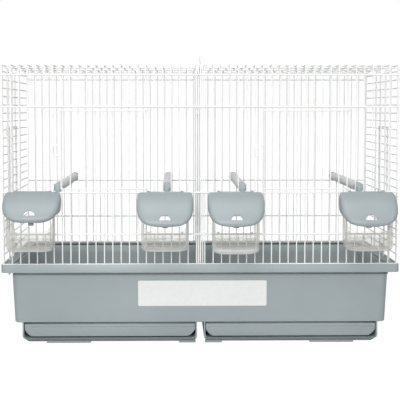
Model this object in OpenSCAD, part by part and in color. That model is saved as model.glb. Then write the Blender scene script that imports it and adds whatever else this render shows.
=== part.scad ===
// Canary breeding cage: a welded wire cage on a deep plastic base with two drawers.
// The wire panels stand on the rim of the base. A sliding divider splits the cage in two,
// and each half has a front door, a side door, two outside feeders and two perches.
// Heights called "_h" are measured up from the top of the base rim.

/* [Wire mesh] */
// Distance between neighbouring upright wires
wire_pitch = 12.24; // [11:0.02:14]
// Number of upright wires across the front
uprights = 48; // [48:2:56]
// Thickness of the mesh wires
wire_d = 1.8; // [1.4:0.1:2.2]
// Thickness of the cross wires and frame wires
cross_d = 2.5; // [2.1:0.1:2.9]
// How deep the wires of a door sink into each other where they are welded
weld = 0.3; // [0.2:0.05:0.5]
// Distance between the front and the back mesh
mesh_depth = 300; // [280:1:340]
// Height of the roof wires
roof_h = 291; // [285:0.5:310]
// Height of the cross wire under the feeder openings
sill_h = 45.4; // [42:0.1:46]
// Height of the cross wire over the feeder openings and under the doors
rail_h = 106.4; // [104:0.1:110]
// Height of the cross wire over the front doors
head_h = 231.4; // [228:0.1:236]
// Distance of the highest cross wire under the roof wires
shoulder_drop = 13.5; // [8:0.5:20]
// Gap left where wires rest on something
seat_gap = 0.1; // [0.05:0.05:0.2]

/* [Roof and sides] */
// Distance from the middle of the roof to its front and back cross wires
roof_bar_y = 118; // [100:1:130]
// Distance from the front mesh to the extra side upright
side_stay_y = 62; // [40:1:80]
// Gap between a side panel and the front and back mesh
corner_gap = 0.25; // [0.1:0.05:0.4]

/* [Front doors] */
// Width of a front door, in wire pitches
door_pitches = 10; // [8:2:10]
// Thickness of the door bars
door_bar_d = 2.2; // [1.8:0.1:2.4]
// Gap in front of the mesh that a closed door keeps
door_gap = 0.5; // [0.4:0.05:0.7]
// Height of the lower door bar over the rail wire
door_foot = 5.4; // [5.2:0.1:7]
// Distance of the upper door bar under the head wire
door_drop = 5.6; // [4:0.1:8]
// How far the door's free edge passes the side of its opening
door_edge = 1; // [0.8:0.1:1.2]
// Outer diameter of the hinge eyes
eye_d = 5; // [4.6:0.1:5.4]
// Gap between a hinge eye and its wire
eye_gap = 0.35; // [0.3:0.05:0.4]
// Height of a hinge eye
eye_h = 4; // [3:0.1:4.4]
// Height of the handle loop's middle over the lower door bar
door_loop_h = 56; // [30:1:90]
// Height of the handle loop
door_loop_tall = 15; // [12:0.5:20]
// Reach of the handle loop past the door edge
door_loop_reach = 11.5; // [9:0.5:14]

/* [Side doors] */
// Half the width of a side door opening
side_door_half = 43.5; // [38:0.5:46]
// First mesh row under the side door opening
side_door_row = 8; // [6:1:9]
// Rows between the lower and the upper edge of the opening
side_door_rows = 8; // [6:1:8]
// Distance from the side mesh out to the guide rods
guide_reach = 6.86; // [6.5:0.02:7.5]
// Distance of the guide rods' lower ends under the opening
guide_foot = 7.3; // [7.2:0.1:9]
// Distance of the guide rods' upper ends under the roof wires
guide_drop = 3.5; // [3:0.1:6]
// Thickness of the guide rods and of the uprights that frame the doors
rod_d = 2; // [1.9:0.05:2.1]
// Distance of the side door's lower bar under the opening
side_bar_drop = 3.7; // [3.4:0.1:3.8]
// Distance of the side door's upper bar over the opening
side_bar_rise = 2.4; // [2:0.1:4]
// Distance of the side door's own uprights in from its guide rods
side_frame_in = 5.5; // [4.5:0.1:7]
// Reach of the side door's handle loop
side_loop_reach = 10.8; // [8:0.2:13]

/* [Divider] */
// Thickness of the divider's frame wire
divider_d = 2.4; // [2:0.1:2.8]
// Thickness of the divider's cross bars
divider_bar_d = 2.1; // [1.9:0.1:2.3]
// Distance from the middle to each guide wire
divider_guide_x = 3.1; // [2.9:0.05:3.2]
// Gap between the divider's edges and the cross wires
divider_edge_gap = 0.4; // [0.3:0.05:0.6]
// Gap between the divider and the tub's walls
divider_low_gap = 1; // [0.6:0.1:2]
// Gap under the divider's foot
divider_foot_gap = 0.3; // [0.2:0.05:0.5]
// Distance of the divider's top bar under the roof wires
divider_drop = 3.5; // [3:0.1:6]
// Height over the rim at which the divider widens
divider_step_h = 3; // [2.5:0.5:8]
// Length of the handle loop
divider_loop = 26; // [20:1:40]
// Height of the handle loop over the top bar
divider_loop_h = 17; // [12:0.5:24]
// Distance from the middle of the cage forward to the handle loop
divider_loop_y = 105; // [0:1:110]

/* [Base] */
// Width of the rim past the outermost upright wires, each side
rim_over_x = 4.36; // [4.3:0.02:6]
// Depth of the rim past the mesh, front and back
rim_over_y = 5; // [4.5:0.1:7]
// Height of the turned-down rim
rim_lip = 11.5; // [9:0.5:16]
// Height of the bead along the rim's outer edge
rim_bead = 1.5; // [1:0.1:2]
// Width of that bead
bead_w = 0.8; // [0.6:0.1:1]
// Corner radius of the rim
rim_r = 6; // [4:0.5:6]
// Width of the ledge from the rim edge in to the tub wall
ledge_w = 13.5; // [12:0.1:18]
// Wall thickness of the base
wall = 2.2; // [1.8:0.1:2.6]
// Height of the tub from the drawer bays to the rim
tub_h = 87; // [80:0.1:100]
// How much the tub wall leans in towards the bottom
tub_draft = 3.5; // [2:0.1:5]
// Height of the drawer bays
bay_h = 22.9; // [21.4:0.1:26]
// Height of the skirt under the bays
skirt_h = 7.3; // [5:0.1:9]
// Height of the foot pads
foot_h = 1.6; // [1:0.1:2]
// Depth of the foot pads
foot_d = 6.6; // [5:0.1:10]
// Width of the foot pads next to the middle
foot_in_w = 27; // [20:1:40]
// Width of the outer foot pads
foot_out_w = 65; // [40:1:80]
// Distance of the outer foot pads in from the bay's outer wall
foot_out_x = 35; // [20:1:50]
// Gap between the two drawer bays
bay_gap = 10; // [8:0.5:16]
// How far the bays are set in from the bottom of the tub
bay_inset = 11.8; // [10:0.1:16]
// Width of the ledge that carries the floor grilles, front and back
floor_ledge = 10.5; // [9:0.5:14]
// Width of that ledge beside the bays
floor_ledge_x = 4; // [3:0.5:5]
// Gap around a floor grille
floor_gap = 2.5; // [2:0.1:3]
// Depth of the ribs that guide the divider
rib_depth = 5; // [4:0.1:6]
// Thickness of those ribs
rib_t = 2; // [1.6:0.1:2.4]
// Gap between the divider and those ribs
rib_gap = 0.5; // [0.3:0.1:0.7]

/* [Drawers] */
// Gap beside a drawer
drawer_gap = 0.8; // [0.5:0.1:1.2]
// Gap under a drawer
drawer_lift = 0.4; // [0.3:0.1:0.6]
// Height of a drawer
drawer_h = 20.4; // [17:0.1:20.6]
// Gap behind a closed drawer
drawer_back_gap = 5.6; // [2:0.1:20]
// Thickness of the drawer's walls
drawer_t = 2; // [1.6:0.1:2.6]
// Thickness of the drawer's front
drawer_front_t = 3; // [2:0.1:4]
// Radius of the drawer's lower corners
drawer_r = 9; // [6:0.5:12]

/* [Label] */
// Width of the blank label plate
label_w = 190; // [150:1:200]
// Height of the blank label plate
label_h = 38; // [30:1:45]
// Thickness of the blank label plate
label_t = 0.5; // [0.4:0.1:0.8]
// Distance of the label's top edge under the top of the rim
label_drop = 24.5; // [20:0.5:32]
// Sideways offset of the label
label_x = 2.8; // [-10:0.1:10]

/* [Feeder hoods] */
// Width of a hood
hood_w = 82; // [78:0.5:85]
// Height of a hood
hood_h = 45.5; // [42:0.5:50]
// Depth of a hood
hood_deep = 51; // [48:0.5:56]
// Wall thickness of a hood
hood_t = 2; // [1.6:0.1:2.4]
// Radius of the hood's front corners, seen from above
hood_corner = 12; // [6:0.5:16]
// Radius of the hood's upper corners
hood_top_r = 8; // [5:0.5:10]
// Radius of the hood's lower corners
hood_low_r = 24; // [18:0.5:28]
// Gap between the rail wire and the back edge of a hood
hood_gap = 2.9; // [2.8:0.1:3.4]
// Distance of a hood's top under the middle of the rail wire
hood_drop = 0.6; // [0.4:0.1:1]
// Width of a hook tab
tab_w = 4; // [3:0.1:5]
// Outer diameter of the hook eye on the rail wire
tab_d = 5.8; // [5.6:0.1:6]
// Gap between the hook eye and the rail wire
tab_gap = 0.35; // [0.3:0.05:0.4]
// Width of the half-moon window
window_w = 17.5; // [14:0.5:20]
// Height of the window's flat edge over the hood's lower edge
window_h = 8; // [7:0.5:10]
// Width of the lift tongue
tongue_w = 8; // [6:0.5:10]
// Length of the lift tongue under the hood
tongue_h = 2.6; // [2:0.1:3]
// Distance of the lift tongue in front of the hood's back edge
tongue_deep = 25; // [12:0.5:40]
// Angle by which the first hood is left open
hood_1_tip = 8; // [0:1:20]

/* [Feeder cups] */
// Width of a cup
cup_w = 68; // [60:0.5:70]
// Depth of a cup
cup_deep = 46.5; // [42:0.5:47]
// Height of the cup's bottom
cup_floor_h = 24.3; // [20:0.1:28]
// Height of the cup's front edge
cup_lip_h = 52.5; // [48:0.1:54]
// Height of the cup's cheeks
cup_cheek_h = 75; // [65:0.5:80]
// Wall thickness of a cup
cup_t = 1.8; // [1.4:0.1:2.2]
// Thickness of the cup's bottom
cup_base_t = 3.2; // [2.4:0.1:4]
// Radius of the cup's front corners, seen from above
cup_corner = 14; // [8:0.5:18]
// Angle by which the third cup hangs forward
cup_3_tilt = 6; // [0:1:8]
// Radius of the cup's lower corners
cup_r = 9; // [6:0.5:12]
// Gap between the mesh and a cup
cup_gap = 0.4; // [0.3:0.1:0.6]
// Gap between the sill wire and a cup's hooks
hook_gap = 0.3; // [0.2:0.05:0.4]
// Thickness of the hooks
hook_t = 1.6; // [1.2:0.1:2]
// Length of the hook tip behind the sill wire
hook_tip = 3.5; // [3:0.1:4.5]

/* [Perches] */
// Diameter of a perch
perch_d = 14; // [12:0.5:16]
// How far a perch hangs lower than its end tongues
perch_sink = 1; // [0.5:0.1:2]
// Width and height of the end tongues
perch_tongue = 6.6; // [5.6:0.1:6.8]
// Gap between a perch and the mesh at each end
perch_gap = 1; // [0.5:0.1:2]

/* [Side clips] */
// Width of a side clip
clip_w = 12; // [8:0.5:16]
// Thickness of a side clip
clip_t = 1.6; // [1.2:0.1:2]
// Gap between a clip and the rim
clip_gap = 0.5; // [0.4:0.05:0.6]
// Height over the rim at which a clip bends straight down
clip_knee = 4; // [3:0.1:5]
// How far a clip hooks under the rim
clip_hook = 2.6; // [2:0.1:3]
// Length of the finger tab under the hook
clip_tab = 22; // [15:0.5:26]
// How far the finger tab leans out
clip_lean = 8; // [5:0.5:10]

/* [Hidden] */

// Colours
wire_white = "#eef0ef";
tub_grey = "#a3acae";
hood_grey = "#9fa9ac";
perch_grey = "#b9bfc0";
clip_grey = "#8d9496";
clear_plastic = "#d3d5d3";
label_white = "#f4f5f4";

// Glue line between the label plate and the tub
label_gap = 0.02;

// Film of coating between two wires that are welded across each other
weld_film = 0.02;

// How far a cut runs past the face that it opens
past_face = 1;

// Segments in a quarter turn of a moulded corner
corner_steps = 8;

// Places across the front, counted in wire pitches from the middle of the cage
feeder_at = [-20, -4, 4, 20];
feeder_pitches = 5;
door_at = [-11.5, 12.5];
perch_at = [-17, -4, 5, 19];

// How far each hood and each cup has slid sideways in its opening
hood_slip = [1.4, -2.8, 1.7, -2.4];
cup_slip = [-1, -2.8, 1.2, -2.6];

// Levels
rim_z = foot_h + skirt_h + bay_h + tub_h;
bay_floor_z = foot_h + skirt_h;
tub_floor_z = bay_floor_z + bay_h;
grille_z = tub_floor_z + wall;
roof_z = rim_z + roof_h;
rest_h = cross_d / 2 + seat_gap;

// The mesh: cross wires lie outside the upright wires and touch them where they are welded
mesh_half_w = (uprights - 1) / 2 * wire_pitch;
mesh_y = mesh_depth / 2;
cross_out = (wire_d + cross_d) / 2 + weld_film;
cross_levels = [rest_h, sill_h, rail_h, head_h, roof_h - shoulder_drop];

// The base outline
rim_half_w = mesh_half_w + rim_over_x;
rim_half_d = mesh_y + rim_over_y;
tub_half_w = rim_half_w - ledge_w;
tub_half_d = rim_half_d - ledge_w;
tub_low_w = tub_half_w - tub_draft;
tub_low_d = tub_half_d - tub_draft;
bay_x0 = bay_gap / 2;
bay_x1 = tub_low_w - bay_inset;
bay_back = tub_low_d - wall;
rib_x = divider_d / 2 + rib_gap;

// Feeders hang on the mesh
rail_y = -mesh_y - cross_out;
hood_back = rail_y - cross_d / 2 - hood_gap;
hood_top_h = rail_h - hood_drop;
tab_pitches = 2;
cup_back = rail_y - cross_d / 2 - cup_gap;

// The frame's origin is under the middle of the whole object, from the lower edge of the first
// hood to the back of the rim
front_reach = (hood_deep + rail_y - hood_back) * cos(hood_1_tip) + (hood_h + hood_drop) * sin(hood_1_tip);
frame_shift = (front_reach - rail_y - rim_half_d) / 2;

module in_frame() { translate([0, frame_shift, 0]) children(); }

// ---- outlines ----

function arc(cx, cy, r, from, to) =
    [for (k = [0:corner_steps]) let(a = from + (to - from) * k / corner_steps)
        [cx + r * cos(a), cy + r * sin(a)]];

function rounded_rect(half_w, half_d, r) = concat(
    arc(half_w - r, half_d - r, r, 0, 90),
    arc(r - half_w, half_d - r, r, 90, 180),
    arc(r - half_w, r - half_d, r, 180, 270),
    arc(half_w - r, r - half_d, r, 270, 360));

// A section that is square at one end and has round corners at the other
function tray_section(half_w, low, high, r) = concat(
    [[half_w, high], [-half_w, high]],
    arc(r - half_w, low + r, r, 180, 270),
    arc(half_w - r, low + r, r, 270, 360));

// ---- wires: eight-sided, with flats towards the axes ----

module wire(length, d) {
    rotate(180 / 8) cylinder(h = length, d = d / cos(180 / 8), $fn = 8);
}
module wire_up(x, y, z0, z1, d) { translate([x, y, z0]) wire(z1 - z0, d); }
module wire_across(x0, x1, y, z, d) {
    translate([x0, y, z]) rotate([0, 90, 0]) wire(x1 - x0, d);
}
module wire_deep(x, y0, y1, z, d) {
    translate([x, y1, z]) rotate([90, 0, 0]) wire(y1 - y0, d);
}

// A profile drawn in y and z, stretched along x, and one drawn in x and z, stretched along y
module along_x(half_w) {
    rotate([90, 0, 90]) linear_extrude(2 * half_w, center = true) children();
}
module along_y(y0, y1) {
    translate([0, y1, 0]) rotate([90, 0, 0]) linear_extrude(y1 - y0) children();
}

// ---- base ----

module tub_block(low_w, low_d, top_w, top_d, z0, z1) {
    intersection() {
        along_y(-top_d, top_d)
            polygon([[-low_w, z0], [low_w, z0], [top_w, z1], [-top_w, z1]]);
        along_x(top_w)
            polygon([[-low_d, z0], [low_d, z0], [top_d, z1], [-top_d, z1]]);
    }
}

module tub_outside(grow = 0) {
    tub_block(tub_low_w + grow, tub_low_d + grow, tub_half_w + grow, tub_half_d + grow,
        tub_floor_z, rim_z);
}

module tub_inside() {
    lean = tub_draft * wall / tub_h;
    tub_block(tub_low_w - wall + lean, tub_low_d - wall + lean,
        tub_half_w - wall + lean, tub_half_d - wall + lean,
        tub_floor_z + wall, rim_z + wall);
}

module rim() {
    difference() {
        translate([0, 0, rim_z - rim_lip]) linear_extrude(rim_lip + rim_bead)
            polygon(rounded_rect(rim_half_w, rim_half_d, rim_r));
        translate([0, 0, rim_z]) linear_extrude(2 * rim_bead)
            polygon(rounded_rect(rim_half_w - bead_w, rim_half_d - bead_w, rim_r - bead_w));
        translate([0, 0, rim_z - rim_lip - past_face]) linear_extrude(rim_lip + past_face - wall)
            polygon(rounded_rect(rim_half_w - wall, rim_half_d - wall, rim_r - wall));
        tub_inside();
    }
}

// Four ribs on the inside of the tub's walls
module ribs() {
    intersection() {
        for (side = [-1, 1], end = [-1, 1]) {
            translate([side * (rib_x + rib_t / 2), end * tub_half_d, rim_z / 2])
                cube([rib_t, 2 * (tub_half_d - tub_low_d + wall + rib_depth), rim_z - 2 * wall],
                    center = true);
        }
        tub_inside();
    }
}

// One drawer bay, open at the front, with its skirt and foot pads
module bay() {
    difference() {
        translate([bay_x0, -tub_low_d, foot_h])
            cube([bay_x1 - bay_x0, tub_low_d + bay_back, tub_floor_z - foot_h]);
        translate([bay_x0 + wall, -tub_low_d - past_face, bay_floor_z])
            cube([bay_x1 - bay_x0 - 2 * wall, tub_low_d + bay_back + past_face - wall, bay_h + past_face]);
        translate([bay_x0 + wall, wall - tub_low_d, foot_h - past_face])
            cube([bay_x1 - bay_x0 - 2 * wall, tub_low_d + bay_back - 2 * wall, skirt_h + past_face - wall]);
    }
    for (y = [-tub_low_d, bay_back - foot_d]) {
        translate([bay_x0, y, 0]) cube([foot_in_w, foot_d, foot_h + wall]);
        translate([bay_x1 - foot_out_x - foot_out_w, y, 0]) cube([foot_out_w, foot_d, foot_h + wall]);
    }
}

// The space from the tub's floor down
module below_floor_top() {
    translate([-rim_half_w, -rim_half_d, 0]) cube([2 * rim_half_w, 2 * rim_half_d, tub_floor_z + wall]);
}

// Walls and rim of the tub
module base_tub() color(tub_grey) in_frame() {
    difference() {
        tub_outside();
        tub_inside();
        below_floor_top();
    }
    rim();
}

// Floor of the tub, open over the drawers
module tub_floor() color(tub_grey) in_frame() {
    difference() {
        intersection() {
            tub_outside();
            below_floor_top();
        }
        for (side = [0, 1]) {
            mirror([side, 0, 0])
                translate([bay_x0 + wall + floor_ledge_x, floor_ledge - tub_low_d, tub_floor_z - past_face])
                    cube([bay_x1 - bay_x0 - 2 * (wall + floor_ledge_x),
                        tub_low_d + bay_back - 2 * floor_ledge, wall + 2 * past_face]);
        }
    }
}

module divider_ribs() color(tub_grey) in_frame() ribs();
module drawer_bay_left() color(tub_grey) in_frame() mirror([1, 0, 0]) bay();
module drawer_bay_right() color(tub_grey) in_frame() bay();

module label_plate() color(label_white) in_frame() {
    difference() {
        intersection() {
            tub_outside(label_t);
            translate([label_x - label_w / 2, -tub_half_d - 2 * label_t, rim_z - label_drop - label_h])
                cube([label_w, tub_half_d, label_h]);
        }
        tub_outside(label_gap);
    }
}

// ---- wire floors that lie over the drawers ----

grille_x0 = rib_x + rib_t + floor_gap;
grille_x1 = tub_low_w - wall - floor_gap;
grille_half_d = tub_low_d - wall - floor_gap;

module floor_grille() {
    z = grille_z + seat_gap + cross_d / 2;
    for (y = [-1, 1]) {
        wire_across(grille_x0, grille_x1, y * (grille_half_d - cross_d / 2), z, cross_d);
        wire_across(grille_x0, grille_x1, y * grille_half_d / 3, z, cross_d);
    }
    count = floor((grille_x1 - grille_x0 - wire_d) / wire_pitch);
    step = (grille_x1 - grille_x0 - wire_d) / count;
    for (k = [0:count]) {
        wire_deep(grille_x0 + wire_d / 2 + k * step, -grille_half_d, grille_half_d,
            z + cross_out, wire_d);
    }
}

module floor_grille_left() color(wire_white) in_frame() mirror([1, 0, 0]) floor_grille();
module floor_grille_right() color(wire_white) in_frame() floor_grille();

// ---- drawers ----

drawer_mid = (bay_x0 + bay_x1) / 2;
drawer_half_w = (bay_x1 - bay_x0) / 2 - wall - drawer_gap;
drawer_z = bay_floor_z + drawer_lift;
drawer_end = bay_back - wall - drawer_back_gap;

module drawer() {
    translate([drawer_mid, 0, 0]) difference() {
        along_y(-tub_low_d, drawer_end)
            polygon(tray_section(drawer_half_w, drawer_z, drawer_z + drawer_h, drawer_r));
        along_y(drawer_front_t - tub_low_d, drawer_end - drawer_t)
            polygon(tray_section(drawer_half_w - drawer_t, drawer_z + drawer_t,
                drawer_z + drawer_h + past_face, drawer_r - drawer_t));
    }
}

module drawer_left() color(tub_grey) in_frame() mirror([1, 0, 0]) drawer();
module drawer_right() color(tub_grey) in_frame() drawer();

// ---- wire panels ----

function upright_x(i) = i * wire_pitch - mesh_half_w;
function is_between(x, mid, pitches) = abs(x - mid * wire_pitch) < (pitches / 2 - 0.1) * wire_pitch;
function in_feeder(x) = len([for (at = feeder_at) if (is_between(x, at, feeder_pitches)) 1]) > 0;
function in_door(x) = len([for (at = door_at) if (is_between(x, at, door_pitches)) 1]) > 0;

// Turns a feeder piece about the cross wire that it hangs on
module turned_about(h, angle) {
    translate([0, rail_y, rim_z + h]) rotate([angle, 0, 0]) translate([0, -rail_y, -rim_z - h]) children();
}

module mesh_upright(x, y, from_h, to_h) {
    wire_up(x, y, rim_z + from_h, rim_z + to_h, wire_d);
}

// Cross wires and divider guides, the same on the front and on the back
module panel_bars(y, outward) {
    for (h = cross_levels) {
        wire_across(-mesh_half_w - wire_d / 2, mesh_half_w + wire_d / 2,
            y + outward * cross_out, rim_z + h, cross_d);
    }
    for (side = [-1, 1]) {
        mesh_upright(side * divider_guide_x, y, seat_gap, roof_h + wire_d / 2);
    }
}

module front_grille() color(wire_white) in_frame() {
    top = roof_h + wire_d / 2;
    half_bar = cross_d / 2;
    panel_bars(-mesh_y, -1);
    for (i = [0:uprights - 1]) {
        x = upright_x(i);
        if (in_feeder(x)) {
            mesh_upright(x, -mesh_y, seat_gap, sill_h + half_bar);
            mesh_upright(x, -mesh_y, rail_h - half_bar, top);
        } else if (in_door(x)) {
            mesh_upright(x, -mesh_y, seat_gap, rail_h + half_bar);
            mesh_upright(x, -mesh_y, head_h - half_bar, top);
        } else {
            mesh_upright(x, -mesh_y, seat_gap, top);
        }
    }
}

module back_grille() color(wire_white) in_frame() {
    panel_bars(mesh_y, 1);
    for (i = [0:uprights - 1]) {
        mesh_upright(upright_x(i), mesh_y, seat_gap, roof_h + wire_d / 2);
    }
}

// One half of the roof; the gap between the halves is the divider's slot
module roof_half() {
    end = mesh_y - wire_d / 2;
    for (i = [uprights / 2:uprights - 1]) {
        wire_deep(upright_x(i), -end, end, roof_z, wire_d);
    }
    for (y = [-roof_bar_y, 0, roof_bar_y]) {
        wire_across(upright_x(uprights / 2) - wire_d / 2, mesh_half_w + wire_d / 2, y,
            roof_z - cross_out, cross_d);
    }
}

module roof_grille_left() color(wire_white) in_frame() mirror([1, 0, 0]) roof_half();
module roof_grille_right() color(wire_white) in_frame() roof_half();

side_end = mesh_y - wire_d / 2 - corner_gap;
row_x = mesh_half_w + cross_out;
rod_x = mesh_half_w + guide_reach;
side_low_h = rest_h + side_door_row * wire_pitch;
side_high_h = side_low_h + side_door_rows * wire_pitch;
side_rows = floor((roof_h - guide_drop - rest_h) / wire_pitch);
guide_low_h = side_low_h - guide_foot;
guide_high_h = roof_h - guide_drop;

module side_grille() {
    for (y = [cross_d / 2 - side_end, side_stay_y - mesh_y, -side_door_half, side_door_half,
        side_end - cross_d / 2]) {
        wire_up(mesh_half_w, y, rim_z + seat_gap, roof_z - wire_d / 2 - seat_gap, cross_d);
    }
    for (j = [0:side_rows]) {
        z = rim_z + rest_h + j * wire_pitch;
        if (j > side_door_row && j < side_door_row + side_door_rows) {
            for (end = [0, 1]) mirror([0, end, 0])
                wire_deep(row_x, side_door_half - cross_d / 2, side_end, z, wire_d);
        } else {
            wire_deep(row_x, -side_end, side_end, z, wire_d);
        }
    }
}

// Two upright rods on stubs, welded to the uprights beside the door
module side_guide() {
    for (y = [-side_door_half, side_door_half]) {
        wire_up(rod_x, y, rim_z + guide_low_h - rod_d, rim_z + guide_high_h + rod_d, rod_d);
        for (h = [guide_low_h, guide_high_h]) {
            wire_across(mesh_half_w + cross_d / 2, rod_x, y, rim_z + h, wire_d);
        }
    }
}

module side_grille_left() color(wire_white) in_frame() mirror([1, 0, 0]) side_grille();
module side_grille_right() color(wire_white) in_frame() side_grille();
module side_guide_left() color(wire_white) in_frame() mirror([1, 0, 0]) side_guide();
module side_guide_right() color(wire_white) in_frame() side_guide();

// ---- front doors: they swing on the upright wire at their right edge ----

door_low_h = rail_h + door_foot;
door_high_h = head_h - door_drop;
door_bar_y = -mesh_y - wire_d / 2 - door_gap - door_bar_d / 2;
door_wire_y = door_bar_y + (door_bar_d + wire_d) / 2 - weld;

module front_door(at) {
    hinge_x = (at + door_pitches / 2) * wire_pitch;
    latch_x = (at - door_pitches / 2) * wire_pitch;
    edge_x = latch_x - door_edge;
    loop_h = door_low_h + door_loop_h;
    for (h = [door_low_h, door_high_h]) {
        wire_across(edge_x - door_bar_d / 2, hinge_x + weld, door_bar_y, rim_z + h, door_bar_d);
        translate([hinge_x, -mesh_y, rim_z + h]) difference() {
            cylinder(h = eye_h, d = eye_d, center = true, $fn = 32);
            cylinder(h = 2 * eye_h, d = wire_d + 2 * eye_gap, center = true, $fn = 32);
        }
    }
    wire_up(edge_x, door_bar_y, rim_z + door_low_h, rim_z + door_high_h, rod_d);
    for (k = [1:door_pitches - 1]) {
        wire_up(latch_x + k * wire_pitch, door_wire_y, rim_z + door_low_h - door_bar_d / 2,
            rim_z + door_high_h + door_bar_d / 2, wire_d);
    }
    for (h = [loop_h - door_loop_tall / 2, loop_h + door_loop_tall / 2]) {
        wire_across(edge_x - door_loop_reach - door_bar_d / 2, edge_x + weld, door_bar_y, rim_z + h,
            door_bar_d);
    }
    wire_up(edge_x - door_loop_reach, door_bar_y, rim_z + loop_h - door_loop_tall / 2,
        rim_z + loop_h + door_loop_tall / 2, rod_d);
}

module front_door_left() color(wire_white) in_frame() front_door(door_at[0]);
module front_door_right() color(wire_white) in_frame() front_door(door_at[1]);

// ---- side doors: they slide up two guide rods ----

side_door_x = rod_x - eye_d / 2 + weld;
side_bar_low = side_low_h - side_bar_drop;
side_bar_high = side_high_h + side_bar_rise;

module side_door() {
    frame_y = side_door_half - side_frame_in;
    difference() {
        union() {
            for (h = [side_bar_low, side_bar_high], y = [-side_door_half, side_door_half]) {
                translate([rod_x, y, rim_z + h])
                    cylinder(h = eye_h, d = eye_d, center = true, $fn = 32);
            }
            for (h = [side_bar_low, side_bar_high]) {
                wire_deep(side_door_x, -side_door_half - weld, side_door_half + weld, rim_z + h, door_bar_d);
            }
        }
        for (y = [-side_door_half, side_door_half]) {
            translate([rod_x, y, rim_z + side_bar_low - eye_h])
                cylinder(h = side_bar_high - side_bar_low + 2 * eye_h, d = rod_d + 2 * eye_gap, $fn = 32);
        }
    }
    for (y = [-frame_y, frame_y]) {
        wire_up(side_door_x, y, rim_z + side_bar_low, rim_z + side_bar_high, rod_d);
    }
    for (j = [1:side_door_rows - 1]) {
        wire_deep(side_door_x, -frame_y, frame_y, rim_z + side_low_h + j * wire_pitch, wire_d);
    }
    loop_low = side_high_h - wire_pitch;
    for (h = [loop_low, side_bar_high]) {
        wire_across(side_door_x, side_door_x + side_loop_reach, 0, rim_z + h, rod_d);
    }
    wire_up(side_door_x + side_loop_reach, 0, rim_z + loop_low - rod_d / 2,
        rim_z + side_bar_high + rod_d / 2, rod_d);
}

module side_door_left() color(wire_white) in_frame() mirror([1, 0, 0]) side_door();
module side_door_right() color(wire_white) in_frame() side_door();

// ---- divider: a wire panel that slides up through the roof ----

divider_y = mesh_y + cross_out - cross_d / 2 - divider_edge_gap - divider_d / 2;
divider_low_y = tub_low_d - wall - divider_low_gap - divider_d / 2;
divider_top_h = roof_h - divider_drop;
divider_foot_z = grille_z + divider_foot_gap + divider_d / 2;

module divider() color(wire_white) in_frame() {
    step_z = rim_z + divider_step_h;
    top_z = rim_z + divider_top_h;
    half = divider_d / 2;
    loop_z = top_z + divider_loop_h;
    for (end = [-1, 1]) {
        wire_up(0, end * divider_y, step_z - half, top_z + half, divider_d);
        wire_up(0, end * divider_low_y, divider_foot_z - half, step_z + half, divider_d);
    }
    for (z = [divider_foot_z, step_z, top_z]) {
        y = z == divider_foot_z ? divider_low_y : divider_y;
        wire_deep(0, -y, y, z, divider_bar_d);
    }
    for (z = [rim_z + rail_h, rim_z + head_h - wire_pitch]) {
        wire_deep(0, -divider_y, divider_y, z, divider_bar_d);
    }
    rows = floor(divider_low_y / wire_pitch);
    for (k = [-rows:rows]) {
        wire_up(0, k * wire_pitch, divider_foot_z, top_z, wire_d);
    }
    for (y = [-divider_loop_y - divider_loop / 2, -divider_loop_y + divider_loop / 2]) {
        wire_up(0, y, top_z, loop_z + half, divider_d);
    }
    wire_deep(0, -divider_loop_y - divider_loop / 2, -divider_loop_y + divider_loop / 2, loop_z, divider_d);
}

// ---- feeder hoods: they hook on the rail wire and tip up ----

// Front outline of a hood, and the straight-sided opening inside it
function hood_outline() = let(half = hood_w / 2, top = rim_z + hood_top_h) concat(
    arc(half - hood_top_r, top - hood_top_r, hood_top_r, 0, 90),
    arc(hood_top_r - half, top - hood_top_r, hood_top_r, 90, 180),
    arc(hood_low_r - half, top - hood_h + hood_low_r, hood_low_r, 180, 270),
    arc(half - hood_low_r, top - hood_h + hood_low_r, hood_low_r, 270, 360));

function hood_opening() =
    let(half = hood_w / 2 - hood_t, r = hood_top_r - hood_t, top = rim_z + hood_top_h - hood_t) concat(
    arc(half - r, top - r, r, 0, 90), arc(r - half, top - r, r, 90, 180),
    [[-half, top - 2 * hood_h], [half, top - 2 * hood_h]]);

// Side profile: a quarter of an ellipse from the hinge out to the lower edge
function hood_profile(inset, past) =
    let(top = rim_z + hood_top_h - inset, deep = hood_deep - inset, high = hood_h - inset)
    concat([[hood_back + past, top - high - past], [hood_back + past, top]],
        [for (k = [0:2 * corner_steps]) let(a = 90 * k / (2 * corner_steps))
            [hood_back - deep * sin(a), top - high * (1 - cos(a))]],
        [[hood_back - deep, top - high - past]]);

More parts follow.
